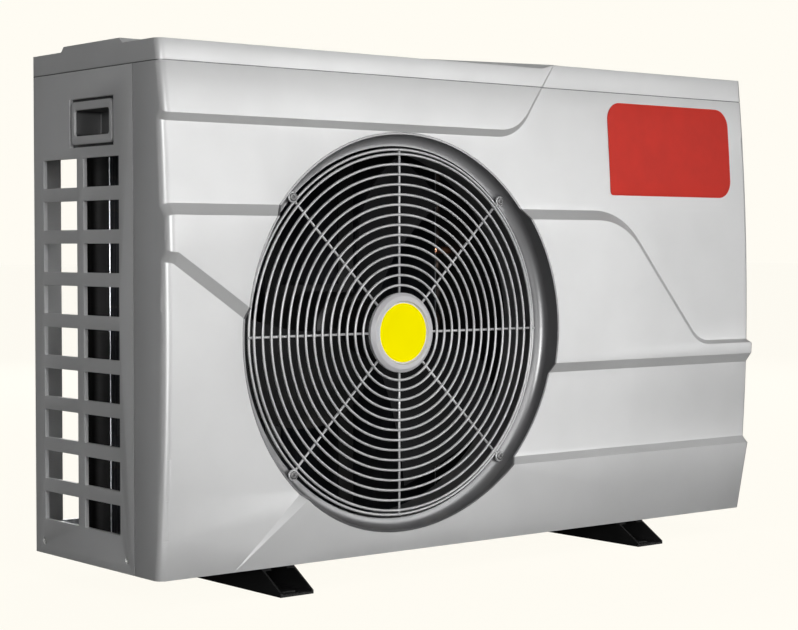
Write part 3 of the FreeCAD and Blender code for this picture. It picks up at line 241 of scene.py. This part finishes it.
def copper(name, fresh, dull, roughness, metallic=1.0):
    """Drawn copper tube with heat stains and brown tarnish."""
    skin = Surface(name, Metallic=metallic)
    tarnish = skin.ramp(skin.noise(28 * MM, 5.0), 0.4, 0.68, 0.0, 0.85)
    streaks = skin.noise(3 * MM, 3.0)
    body = skin.mix(tarnish, fresh, dull)
    rough = skin.ramp(tarnish, 0.0, 0.85, roughness, roughness + 0.25)
    return skin.finish(Base_Color=body, Roughness=rough, Normal=skin.bump(streaks, 0.012 * MM))


def fin_sheet(name):
    """Thin coated aluminium fins, dark with a blue cast and faint upright streaks."""
    skin = Surface(name, Metallic=0.35)
    clouds = skin.ramp(skin.noise(50 * MM, 4.0), 0.35, 0.7, 0.0, 1.0)
    bands = skin.noise(4 * MM, 2.0, stretch=(1, 1, 0.1))
    body = skin.mix(clouds, (0.020, 0.023, 0.030), (0.040, 0.045, 0.055))
    rough = skin.ramp(bands, 0.3, 0.7, 0.38, 0.55)
    return skin.finish(Base_Color=body, Roughness=rough, Normal=skin.bump(bands, 0.03 * MM))


def rubber(name):
    """Matt black rubber with a pale bloom."""
    skin = Surface(name)
    bloom = skin.ramp(skin.noise(12 * MM, 5.0), 0.45, 0.75, 0.0, 0.4)
    body = skin.mix(bloom, (0.016, 0.016, 0.016), (0.07, 0.07, 0.07))
    pores = skin.noise(0.8 * MM, 2.0)
    return skin.finish(Base_Color=body, Roughness=skin.ramp(pores, 0.3, 0.7, 0.72, 0.88),
                       Normal=skin.bump(pores, 0.05 * MM))


def vinyl(name, colour, roughness, **uniform):
    """A plain sticker or lacquered plate: even colour, faint ripples and slightly paler edges."""
    skin = Surface(name, **uniform)
    clouds = skin.ramp(skin.noise(35 * MM, 3.0), 0.3, 0.7, 0.0, 1.0)
    body = skin.mix(clouds, tint(colour, 0.96), tint(colour, 1.04))
    worn = skin.maths("MULTIPLY", skin.edges(1.0 * MM), 0.25)
    final = skin.mix(worn, body, tint(colour, 1.3))
    ripple = skin.noise(7 * MM, 2.0)
    rough = skin.ramp(clouds, 0.0, 1.0, roughness - 0.03, roughness + 0.03)
    return skin.finish(Base_Color=final, Roughness=rough, Normal=skin.bump(ripple, 0.02 * MM))


def board_lacquer(name):
    """Green solder mask over faint copper tracks, with dust."""
    skin = Surface(name, Coat_Weight=0.3)
    tracks = skin.cells(5 * MM, "DISTANCE_TO_EDGE", "Distance")
    lines = skin.ramp(tracks, 0.03, 0.06, 0.7, 0.0)
    body = skin.mix(lines, (0.015, 0.11, 0.045), (0.04, 0.22, 0.09))
    final = skin.mix(skin.ramp(skin.noise(15 * MM, 4.0), 0.5, 0.8, 0.0, 0.3), body, DUST)
    return skin.finish(Base_Color=final, Roughness=skin.ramp(tracks, 0.0, 0.4, 0.3, 0.42),
                       Normal=skin.bump(lines, 0.02 * MM))


def smoked(name, colour, roughness, clear):
    """Tinted plastic, see-through by a share from 0 to 1, with faint scratches."""
    skin = Surface(name, Transmission_Weight=clear, IOR=1.49)
    scratches = skin.noise(1.5 * MM, 4.0, stretch=(1, 0.1, 1))
    clouds = skin.ramp(skin.noise(30 * MM, 3.0), 0.3, 0.7, 0.0, 1.0)
    body = skin.mix(clouds, tint(colour, 0.9), tint(colour, 1.1))
    return skin.finish(Base_Color=body, Roughness=skin.ramp(scratches, 0.3, 0.7, roughness, roughness + 0.08),
                       Normal=skin.bump(scratches, 0.006 * MM))


# Boxes of painted shade, in metres: below the lid's lower edge, from the side panels' inner faces
# inwards, and behind the hand pockets' outer faces.
UNDER_LID = (-1, -1, 0.5), (1, 1, 0.59865)
INSIDE_PANELS = (-0.4441, -0.2, 0), (0.5061, 0.1421, 0.7)
BEHIND_POCKETS = (-0.4462, -0.2, 0), (0.5082, 0.2, 0.7)

shell = moulded("shell_abs", SHELL_GREY, 0.42, dust=0.10)
# Painted shade: below the lid's lower edge the plastic is near black, standing in for the shaded gap of the
# seam.
seam_shaded_shell = moulded("seamed_shell_abs", SHELL_GREY, 0.42, dust=0.10, shade_box=UNDER_LID,
                       shade_colour=SEAM_PAINTED_SHADE)
# Painted shade: the side panels' inner faces are black, standing in for the shade inside the casing.
shaded_inside_shell = moulded("lined_shell_abs", SHELL_GREY, 0.42, dust=0.10, shade_box=INSIDE_PANELS)
# Painted shade: behind the pockets' outer faces the plastic is black, standing in for the shade down in the
# pockets.
shaded_pocket_shell = moulded("pocket_shell_abs", SHELL_GREY, 0.42, dust=0.10, shade_box=BEHIND_POCKETS)
charcoal = moulded("charcoal_abs", ANTHRACITE, 0.36, mottle=0.08, wear=0.2, dust=0.15)
black_nylon = moulded("black_nylon", BLACK, 0.48, mottle=0.15, wear=0.5, dust=0.12)
fan_nylon = moulded("fan_nylon", (0.0035, 0.0035, 0.004), 0.62, mottle=0.2, wear=0.3, dust=0.1,
                    Specular_IOR_Level=0.06)
guard_coat = powder_coat("guard_powder_coat", (0.50, 0.50, 0.505), 0.34, peel=1.6, depth=0.02)
cap_grey = moulded("cap_abs", (0.74, 0.73, 0.75), 0.45, wear=0.1, Specular_IOR_Level=0.12)
# Painted light: the yellow glows a little, so the label is brighter than the lamps alone make it.
yellow = vinyl("yellow_vinyl", (0.96, 0.84, 0.0), 0.5, Specular_IOR_Level=0.0,
               Emission_Color=(1.0, 0.88, 0.0, 1.0), Emission_Strength=0.35)
red = vinyl("red_lacquer", (0.90, 0.056, 0.038), 0.5, Specular_IOR_Level=0.02)
foot_coat = powder_coat("foot_powder_coat", (0.006, 0.006, 0.006), 0.5, chips=0.15,
                        Specular_IOR_Level=0.08)
zinc_sheet = galvanised("galvanised_sheet")
dark_sheet = powder_coat("black_sheet_coat", (0.006, 0.006, 0.006), 0.6, chips=0.1,
                         Specular_IOR_Level=0.1)
wire_coat = powder_coat("black_wire_coat", (0.020, 0.020, 0.021), 0.42, peel=1.6)
zinc_plate = turned_metal("zinc_plate", (0.60, 0.60, 0.58), 0.32)
dark_zinc = turned_metal("black_zinc", (0.05, 0.05, 0.05), 0.45, metallic=0.6)
bare_steel = turned_metal("ground_steel", (0.50, 0.50, 0.51), 0.25, lines=(1, 1, 1))
motor_coat = powder_coat("motor_paint", (0.010, 0.010, 0.010), 0.5, chips=0.2,
                         Specular_IOR_Level=0.15)
shell_coat = powder_coat("compressor_paint", (0.012, 0.012, 0.012), 0.34, chips=0.6)
tube_copper = copper("drawn_copper", (0.50, 0.22, 0.12), (0.16, 0.07, 0.04), 0.26)
coil_copper = copper("tarnished_copper", (0.030, 0.016, 0.010), (0.012, 0.008, 0.006), 0.55, 0.6)
valve_brass = turned_metal("valve_brass", (0.66, 0.46, 0.20), 0.32)
fin_coat = fin_sheet("coated_fins")
cushion_rubber = rubber("moulded_rubber")
exchanger_pvc = moulded("exchanger_pvc", (0.10, 0.105, 0.115), 0.34, wear=0.2, dust=0.2)
board = board_lacquer("circuit_board_lacquer")
screen = smoked("display_window", (0.012, 0.016, 0.020), 0.12, 0.0)
flap_tint = smoked("smoked_flap_tint", (0.16, 0.17, 0.18), 0.08, 0.75)

MATERIALS = {
    shell: ["front_panel", "controller_housing", "service_cover"],
    seam_shaded_shell: ["top_cover"],
    shaded_inside_shell: ["left_side_panel", "right_side_panel"],
    shaded_pocket_shell: ["handle_left", "handle_right"],
    charcoal: ["fan_shroud"],
    black_nylon: ["cable_gland", "inlet_union", "outlet_union", "inlet_nut",
                  "outlet_nut", "drain_spout", "terminal_cap"],
    fan_nylon: ["fan_rotor"],
    guard_coat: ["fan_grille"],
    cap_grey: ["grille_cap"],
    yellow: ["cap_label"],
    red: ["badge"],
    foot_coat: ["foot_left", "foot_right"],
    zinc_sheet: ["base_pan", "back_panel", "coil_end_left", "coil_end_right", "control_box"],
    dark_sheet: ["bend_cover", "motor_bracket", "partition_plate"],
    wire_coat: ["back_guard"],
    zinc_plate: ["foot_bolts", "grille_screws", "case_screws", "cover_screws", "compressor_bolts",
                 "motor_screws", "fan_nut"],
    bare_steel: ["motor_shaft"],
    motor_coat: ["fan_motor"],
    shell_coat: ["compressor", "accumulator"],
    coil_copper: ["coil_bends"],
    tube_copper: ["discharge_pipe", "suction_pipes", "coil_gas_pipe",
                  "exchanger_gas_pipe", "liquid_pipes"],
    valve_brass: ["expansion_valve", "four_way_valve"],
    fin_coat: ["coil_fins"],
    cushion_rubber: ["compressor_cushions"],
    exchanger_pvc: ["heat_exchanger"],
    board: ["circuit_board"],
    screen: ["display_screen"],
    flap_tint: ["display_flap"],
}
for material, names in MATERIALS.items():
    for name in names:
        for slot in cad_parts[name].material_slots:
            slot.link = "OBJECT"
            slot.material = material


# ---------------------------------------------------------------- softened edges
def smoothing_group():
    """Geometry nodes that drop imported custom normals and shade smooth across gentle edges."""
    group = bpy.data.node_groups.new("smooth_gentle_edges", "GeometryNodeTree")
    group.interface.new_socket("Geometry", in_out="INPUT", socket_type="NodeSocketGeometry")
    group.interface.new_socket("Geometry", in_out="OUTPUT", socket_type="NodeSocketGeometry")
    start, end = group.nodes.new("NodeGroupInput"), group.nodes.new("NodeGroupOutput")
    drop = group.nodes.new("GeometryNodeRemoveAttribute")
    drop.inputs["Name"].default_value = "custom_normal"
    faces = group.nodes.new("GeometryNodeSetShadeSmooth")
    edges = group.nodes.new("GeometryNodeSetShadeSmooth")
    edges.domain = "EDGE"
    angle = group.nodes.new("GeometryNodeInputMeshEdgeAngle")
    gentle = group.nodes.new("FunctionNodeCompare")
    gentle.operation = "LESS_THAN"
    gentle.inputs[1].default_value = GENTLE
    chain = [start.outputs[0], drop.inputs[0], drop.outputs[0], faces.inputs[0],
             faces.outputs[0], edges.inputs[0], edges.outputs[0], end.inputs[0]]
    for source, target in zip(chain[::2], chain[1::2]):
        group.links.new(source, target)
    group.links.new(angle.outputs["Unsigned Angle"], gentle.inputs[0])
    group.links.new(gentle.outputs[0], edges.inputs["Shade Smooth"])
    return group


SMOOTHING = smoothing_group()


def soften(name, width):
    """Round a CAD piece's sharp edges with modifiers. Its own mesh stays as it is."""
    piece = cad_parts[name]
    weld = piece.modifiers.new("join_corners", "WELD")
    weld.merge_threshold = 0.02 * MM
    flat = piece.modifiers.new("merge_flats", "DECIMATE")
    flat.decimate_type = "DISSOLVE"
    flat.angle_limit = math.radians(0.4)
    edge = piece.modifiers.new("round_edges", "BEVEL")
    edge.width = width
    edge.segments = 3
    edge.limit_method = "ANGLE"
    edge.angle_limit = GENTLE
    edge.use_clamp_overlap = True
    smooth = piece.modifiers.new("smooth", "NODES")
    smooth.node_group = SMOOTHING


ROUNDING_MM = {
    "front_panel": 1.6, "top_cover": 1.4, "left_side_panel": 0.8, "right_side_panel": 0.8,
    "handle_left": 0.9, "handle_right": 0.9, "badge": 0.6, "controller_housing": 0.8,
    "service_cover": 1.0, "foot_left": 0.6, "foot_right": 0.6,
}
for name, width in ROUNDING_MM.items():
    soften(name, width * MM)


# ---------------------------------------------------------------- fine pieces
def new_piece(name, shape, material, body, finish_slot, *replaced):
    """A finished bmesh as a piece that rides on a body, in place of some CAD nodes."""
    bmesh.ops.recalc_face_normals(shape, faces=shape.faces)
    mesh = bpy.data.meshes.new(name)
    shape.to_mesh(mesh)
    shape.free()
    mesh.materials.append(material)
    piece = bpy.data.objects.new(name, mesh)
    bpy.context.scene.collection.objects.link(piece)
    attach(piece, body)
    if replaced:
        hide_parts(*replaced)


def bridge_rings(shape, rings, closed=False):
    """Faces between neighbouring closed rings of vertices."""
    pairs = list(zip(rings, rings[1:]))
    if closed:
        pairs.append((rings[-1], rings[0]))
    for first, second in pairs:
        count = len(first)
        for index in range(count):
            after = (index + 1) % count
            face = shape.faces.new((first[index], first[after], second[after], second[index]))
            face.smooth = True


def full_turn(count):
    """The angles of points spread evenly round a circle."""
    return [2 * math.pi * index / count for index in range(count)]


def wire_ring(shape, centre, radius, wire, segments=144):
    """A hoop of round wire that faces along Y."""
    rings = []
    for turn in full_turn(segments):
        out = Vector((math.sin(turn), 0, math.cos(turn)))
        rings.append([shape.verts.new(centre + out * (radius + wire * math.cos(roll))
                                      + Vector((0, wire * math.sin(roll), 0)))
                      for roll in full_turn(8)])
    bridge_rings(shape, rings, closed=True)


def rod(shape, start, end, radius):
    """A round rod between two points, with rounded ends."""
    along = (end - start).normalized()
    across = along.orthogonal().normalized()
    up = along.cross(across)
    dome = radius * 0.4
    stations = ((start, 0.7), (start + along * dome, 1.0), (end - along * dome, 1.0), (end, 0.7))
    outs = [across * math.cos(turn) + up * math.sin(turn) for turn in full_turn(10)]
    rings = [[shape.verts.new(middle + out * radius * share) for out in outs] for middle, share in stations]
    bridge_rings(shape, rings)
    shape.faces.new(rings[0])
    shape.faces.new(rings[-1])


def bead(shape, centre, radii):
    """A small lump of weld metal, with its radii along X, Y and Z."""
    across, down = 8, 5
    rings = []
    for row in range(1, down):
        lift = math.pi * row / down
        rings.append([shape.verts.new(centre + Vector((radii[0] * math.sin(lift) * math.cos(turn),
                                                       radii[1] * math.cos(lift),
                                                       radii[2] * math.sin(lift) * math.sin(turn))))
                      for turn in full_turn(across)])
    bridge_rings(shape, rings)
    for ring, step in ((rings[0], 1), (rings[-1], -1)):
        tip = shape.verts.new(centre + Vector((0, radii[1] * step, 0)))
        for index in range(across):
            shape.faces.new((tip, ring[index], ring[(index + 1) % across])).smooth = True


FAN = Vector((-0.108, -0.135, 0.292))          # the middle of the guard's hoops
HOOP_RADII = [(57.1 + 12.08 * index) * MM for index in range(14)]
HUB_RADIUS, RIM_RADIUS = 45 * MM, 219.6 * MM
HOOP_WIRE, SPOKE_WIRE = 1.6 * MM, 1.5 * MM      # radii of the wire
RIM_BEHIND, SPOKES_BEHIND = Vector((0, 2.6 * MM, 0)), Vector((0, 2.8 * MM, 0))
EYE_REACH, EYE_RADIUS = 226.3 * MM, 5.2 * MM    # the four screw eyes on the diagonals
EYE_BEHIND = Vector((0, 0.1 * MM, 0))
WELD_RADII = 2.1 * MM, 2.0 * MM, 2.1 * MM


def fan_guard():
    """The wire guard: hoops welded on eight spokes, a rim behind and four eyes for the screws."""
    shape = bmesh.new()
    for radius in HOOP_RADII:
        wire_ring(shape, FAN, radius, HOOP_WIRE)
    wire_ring(shape, FAN + RIM_BEHIND, RIM_RADIUS, HOOP_WIRE)
    middle = FAN + SPOKES_BEHIND
    wire_ring(shape, middle, HUB_RADIUS, SPOKE_WIRE, 64)
    for index, turn in enumerate(full_turn(8)):
        out = Vector((math.sin(turn), 0, math.cos(turn)))
        rod(shape, middle + out * HUB_RADIUS, middle + out * RIM_RADIUS, SPOKE_WIRE)
        for radius in HOOP_RADII + [RIM_RADIUS]:
            bead(shape, FAN + SPOKES_BEHIND * 0.5 + out * radius, WELD_RADII)
        if index % 2:
            wire_ring(shape, FAN + out * EYE_REACH + EYE_BEHIND, EYE_RADIUS, SPOKE_WIRE, 20)
    new_piece("fan_guard_wires", shape, guard_coat, "casing", "guard_wire", "fan_grille")


def recessed_head(shape, seat, outward, radius, height):
    """A pan head with a cross recess, standing outward on its seat."""
    across = outward.orthogonal().normalized()
    up = outward.cross(across)
    arm, half_width = radius * 0.56, radius * 0.13

    def spot(turn, reach, lift):
        out = across * math.cos(turn) + up * math.sin(turn)
        return shape.verts.new(seat + out * reach + outward * lift)

    def cross_reach(turn):
        lean = abs((turn + math.pi / 4) % (math.pi / 2) - math.pi / 4)
        return min(arm / math.cos(lean), half_width / max(math.sin(lean), 0.01))

    turns = full_turn(48)
    rings = [[spot(turn, radius, 0) for turn in turns]]
    for share in (1.0, 0.9, 0.74):
        lift = height * (0.45 + 0.55 * math.sqrt(1 - (share * 0.98) ** 2))
        rings.append([spot(turn, radius * share, lift) for turn in turns])
    rings.append([spot(turn, cross_reach(turn), height) for turn in turns])
    rings.append([spot(turn, cross_reach(turn) * 0.8, height * 0.35) for turn in turns])
    bridge_rings(shape, rings)
    shape.faces.new(rings[-1])
    shape.faces.new(rings[0])


# Where the screws sit, in metres: the faces they stand on and the middle of each group.
SIDE_FACES = (-0.447, Vector((-1, 0, 0))), (0.509, Vector((1, 0, 0)))
CASE_SCREW_ROWS, CASE_SCREW_Z = (-0.0685, 0.121), 0.043
COVER_FACE, COVER_Y, COVER_Z = 0.517, -0.035, 0.240
BRACKET_FACE = 0.051


def screw_heads():
    """Cross-recessed heads on the guard, the casing's foot, the cover and the motor's bracket."""
    back, right = Vector((0, 1, 0)), Vector((1, 0, 0))
    diagonals = [(a, b) for a in (-1, 1) for b in (-1, 1)]
    reach = EYE_REACH * math.sqrt(0.5)
    guard = [FAN + Vector((a * reach, -1.4 * MM, b * reach)) for a, b in diagonals]
    casing = [(Vector((x, y, CASE_SCREW_Z)), face) for x, face in SIDE_FACES for y in CASE_SCREW_ROWS]
    cover = [Vector((COVER_FACE, COVER_Y + a * 0.031, COVER_Z + b * 0.067)) for a, b in diagonals]
    motor = [Vector((FAN.x + a * 0.028, BRACKET_FACE, FAN.z + b * 0.028)) for a, b in diagonals]
    # Each row: piece, material, CAD node it stands for, head's radius and height in mm, seats.
    groups = (
        ("guard_screw_heads", dark_zinc, "grille_screws", 4.8, 2.0, [(spot, -back) for spot in guard]),
        ("casing_screw_heads", zinc_plate, "case_screws", 3.9, 1.6, casing),
        ("cover_screw_heads", zinc_plate, "cover_screws", 4.0, 1.8, [(spot, right) for spot in cover]),
        ("motor_screw_heads", dark_zinc, "motor_screws", 4.5, 2.4, [(spot, back) for spot in motor]),
    )
    for name, material, replaced, radius, height, places in groups:
        shape = bmesh.new()
        for seat, outward in places:
            recessed_head(shape, seat, outward, radius * MM, height * MM)
            rod(shape, seat - outward * 4 * MM, seat, radius * 0.45 * MM)
        new_piece(name, shape, material, "casing", "zinc_fastener", replaced)


COIL_ROWS = 14


def coil():
    """The coil as thin corrugated fins threaded on two columns of copper tube."""
    low, high = (Vector(corner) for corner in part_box("coil_fins"))
    pitch, thick, ripple = 2.2 * MM, 0.22 * MM, 0.5 * MM
    count = int((high.x - low.x - thick) / pitch)
    folds = 9
    depths = [low.y + (high.y - low.y) * index / (folds - 1) for index in range(folds)]
    shape = bmesh.new()
    for fin in range(count + 1):
        x = low.x + thick + ripple + (high.x - low.x - 2 * thick - 2 * ripple) * fin / count
        columns = []
        for index, y in enumerate(depths):
            shift = ripple if index % 2 else -ripple
            columns.append([shape.verts.new((x + shift + side * thick / 2, y, z))
                            for side, z in ((-1, low.z), (1, low.z), (1, high.z), (-1, high.z))])
        bridge_rings(shape, columns)
        shape.faces.new(columns[0])
        shape.faces.new(columns[-1])
    for face in shape.faces:
        face.smooth = False
    new_piece("coil_fin_stack", shape, fin_coat, "casing", "fin_aluminium", "coil_fins")

    shape = bmesh.new()
    rise = (high.z - low.z) / COIL_ROWS
    for row in range(COIL_ROWS):
        for column, y in enumerate((low.y + 8 * MM, low.y + 20 * MM)):
            z = low.z + (row + 0.25 + 0.5 * column) * rise
            rod(shape, Vector((low.x, y, z)), Vector((high.x, y, z)), 4.4 * MM)
    new_piece("coil_tubes", shape, coil_copper, "casing", "copper")


fan_guard()
screw_heads()
coil()


# ---------------------------------------------------------------- stage, light and camera
def choose(tree, ray_kind, chosen, otherwise):
    """One shader for rays of a kind and another for the rest."""
    ray = tree.nodes.new("ShaderNodeLightPath")
    choice = tree.nodes.new("ShaderNodeMixShader")
    tree.links.new(ray.outputs[ray_kind], choice.inputs[0])
    tree.links.new(otherwise, choice.inputs[1])
    tree.links.new(chosen, choice.inputs[2])
    return choice.outputs[0]


def stage_floor():
    """A pale floor that runs into the pale background without a horizon."""
    reach = 40.0
    mesh = bpy.data.meshes.new("floor")
    mesh.from_pydata([(-reach, -reach, 0), (reach, -reach, 0), (reach, reach, 0), (-reach, reach, 0)], [],
                     [(0, 1, 2, 3)])
    floor = bpy.data.objects.new("floor", mesh)
    bpy.context.scene.collection.objects.link(floor)
    material = bpy.data.materials.new("floor")
    material.use_nodes = True
    tree = material.node_tree
    tree.nodes.clear()
    output = tree.nodes.new("ShaderNodeOutputMaterial")
    matt, faint = tree.nodes.new("ShaderNodeBsdfDiffuse"), tree.nodes.new("ShaderNodeBsdfDiffuse")
    matt.inputs["Color"].default_value = (0.10, 0.10, 0.097, 1)
    faint.inputs["Color"].default_value = (0.05, 0.05, 0.048, 1)
    glow = tree.nodes.new("ShaderNodeEmission")
    glow.inputs["Color"].default_value = (*CREAM, 1)
    glow.inputs["Strength"].default_value = 0.98
    both = tree.nodes.new("ShaderNodeAddShader")
    tree.links.new(faint.outputs[0], both.inputs[0])
    tree.links.new(glow.outputs[0], both.inputs[1])
    sheen = tree.nodes.new("ShaderNodeEmission")
    place = tree.nodes.new("ShaderNodeTexCoord")
    parts = tree.nodes.new("ShaderNodeSeparateXYZ")
    forward = tree.nodes.new("ShaderNodeMapRange")
    for socket, amount in (("From Min", -0.25), ("From Max", -0.40), ("To Min", 0.0), ("To Max", 1.2)):
        forward.inputs[socket].default_value = amount
    tree.links.new(place.outputs["Object"], parts.inputs[0])
    tree.links.new(parts.outputs["Y"], forward.inputs["Value"])
    tree.links.new(forward.outputs[0], sheen.inputs["Strength"])
    felt = choose(tree, "Is Glossy Ray", sheen.outputs[0], matt.outputs[0])
    tree.links.new(choose(tree, "Is Camera Ray", both.outputs[0], felt), output.inputs[0])
    mesh.materials.append(material)


def surroundings(strength):
    """A pale room to the eye that lights the object more weakly, from all round."""
    world = bpy.data.worlds.new("studio")
    bpy.context.scene.world = world
    world.use_nodes = True
    tree = world.node_tree
    tree.nodes.clear()
    output = tree.nodes.new("ShaderNodeOutputWorld")
    pale, dim = tree.nodes.new("ShaderNodeBackground"), tree.nodes.new("ShaderNodeBackground")
    pale.inputs["Color"].default_value = (*CREAM, 1)
    dim.inputs["Color"].default_value = (0.96, 0.98, 1.0, 1)
    dim.inputs["Strength"].default_value = strength
    tree.links.new(choose(tree, "Is Camera Ray", pale.outputs[0], dim.outputs[0]), output.inputs[0])


def softbox(name, place, target, size, power, gloss_only=False):
    """An area lamp aimed at a point. Gloss only: it shows in reflections and lights nothing."""
    data = bpy.data.lights.new(name, "AREA")
    data.shape = "RECTANGLE"
    data.size, data.size_y = size
    data.energy = power
    lamp = bpy.data.objects.new(name, data)
    lamp.location = place
    lamp.rotation_euler = (Vector(target) - Vector(place)).to_track_quat("-Z", "Y").to_euler()
    lamp.visible_diffuse = not gloss_only
    bpy.context.scene.collection.objects.link(lamp)


def studio():
    """The lamps, the floor and the room, as the photo's shades ask for."""
    surroundings(0.10)
    stage_floor()
    softbox("key_light", (-0.8, -3.4, 1.0), (0.03, 0, 0.34), (1.2, 1.0), 49)
    softbox("left_fill", (-3.2, 0.8, 0.4), (-0.45, 0.1, 0.3), (1.8, 1.8), 18)
    softbox("low_fill", (0.03, -0.75, 0.05), (0.03, -0.16, 0.10), (1.5, 0.08), 1.0)
    softbox("front_sheen", (1.05, -3.1, 1.0), (0.2, -0.15, 0.35), (3.0, 2.2), 230, gloss_only=True)
    softbox("right_sheen", (4.0, -3.1, 1.0), (0.4, -0.15, 0.35), (2.8, 2.2), 95, gloss_only=True)
    softbox("corner_strip", (-2.3, -2.5, 0.5), (-0.449, -0.147, 0.33), (0.4, 1.5), 330, gloss_only=True)
    softbox("back_light", (2.2, 3.2, 1.6), (0.1, 0, 0.3), (1.6, 1.4), 60)
    bpy.context.scene.view_settings.view_transform = "Standard"


def photo_camera():
    """The camera that was solved from the casing's corners in the photo."""
    data = bpy.data.cameras.new("photo_camera")
    data.sensor_width = 36
    data.lens = 85.17
    camera = bpy.data.objects.new("photo_camera", data)
    camera.location = (-1.5408, -1.8938, 0.3921)
    camera.rotation_euler = (math.radians(88.007), 0, math.radians(-39.118))
    bpy.context.scene.collection.objects.link(camera)
    bpy.context.scene.camera = camera


studio()
photo_camera()
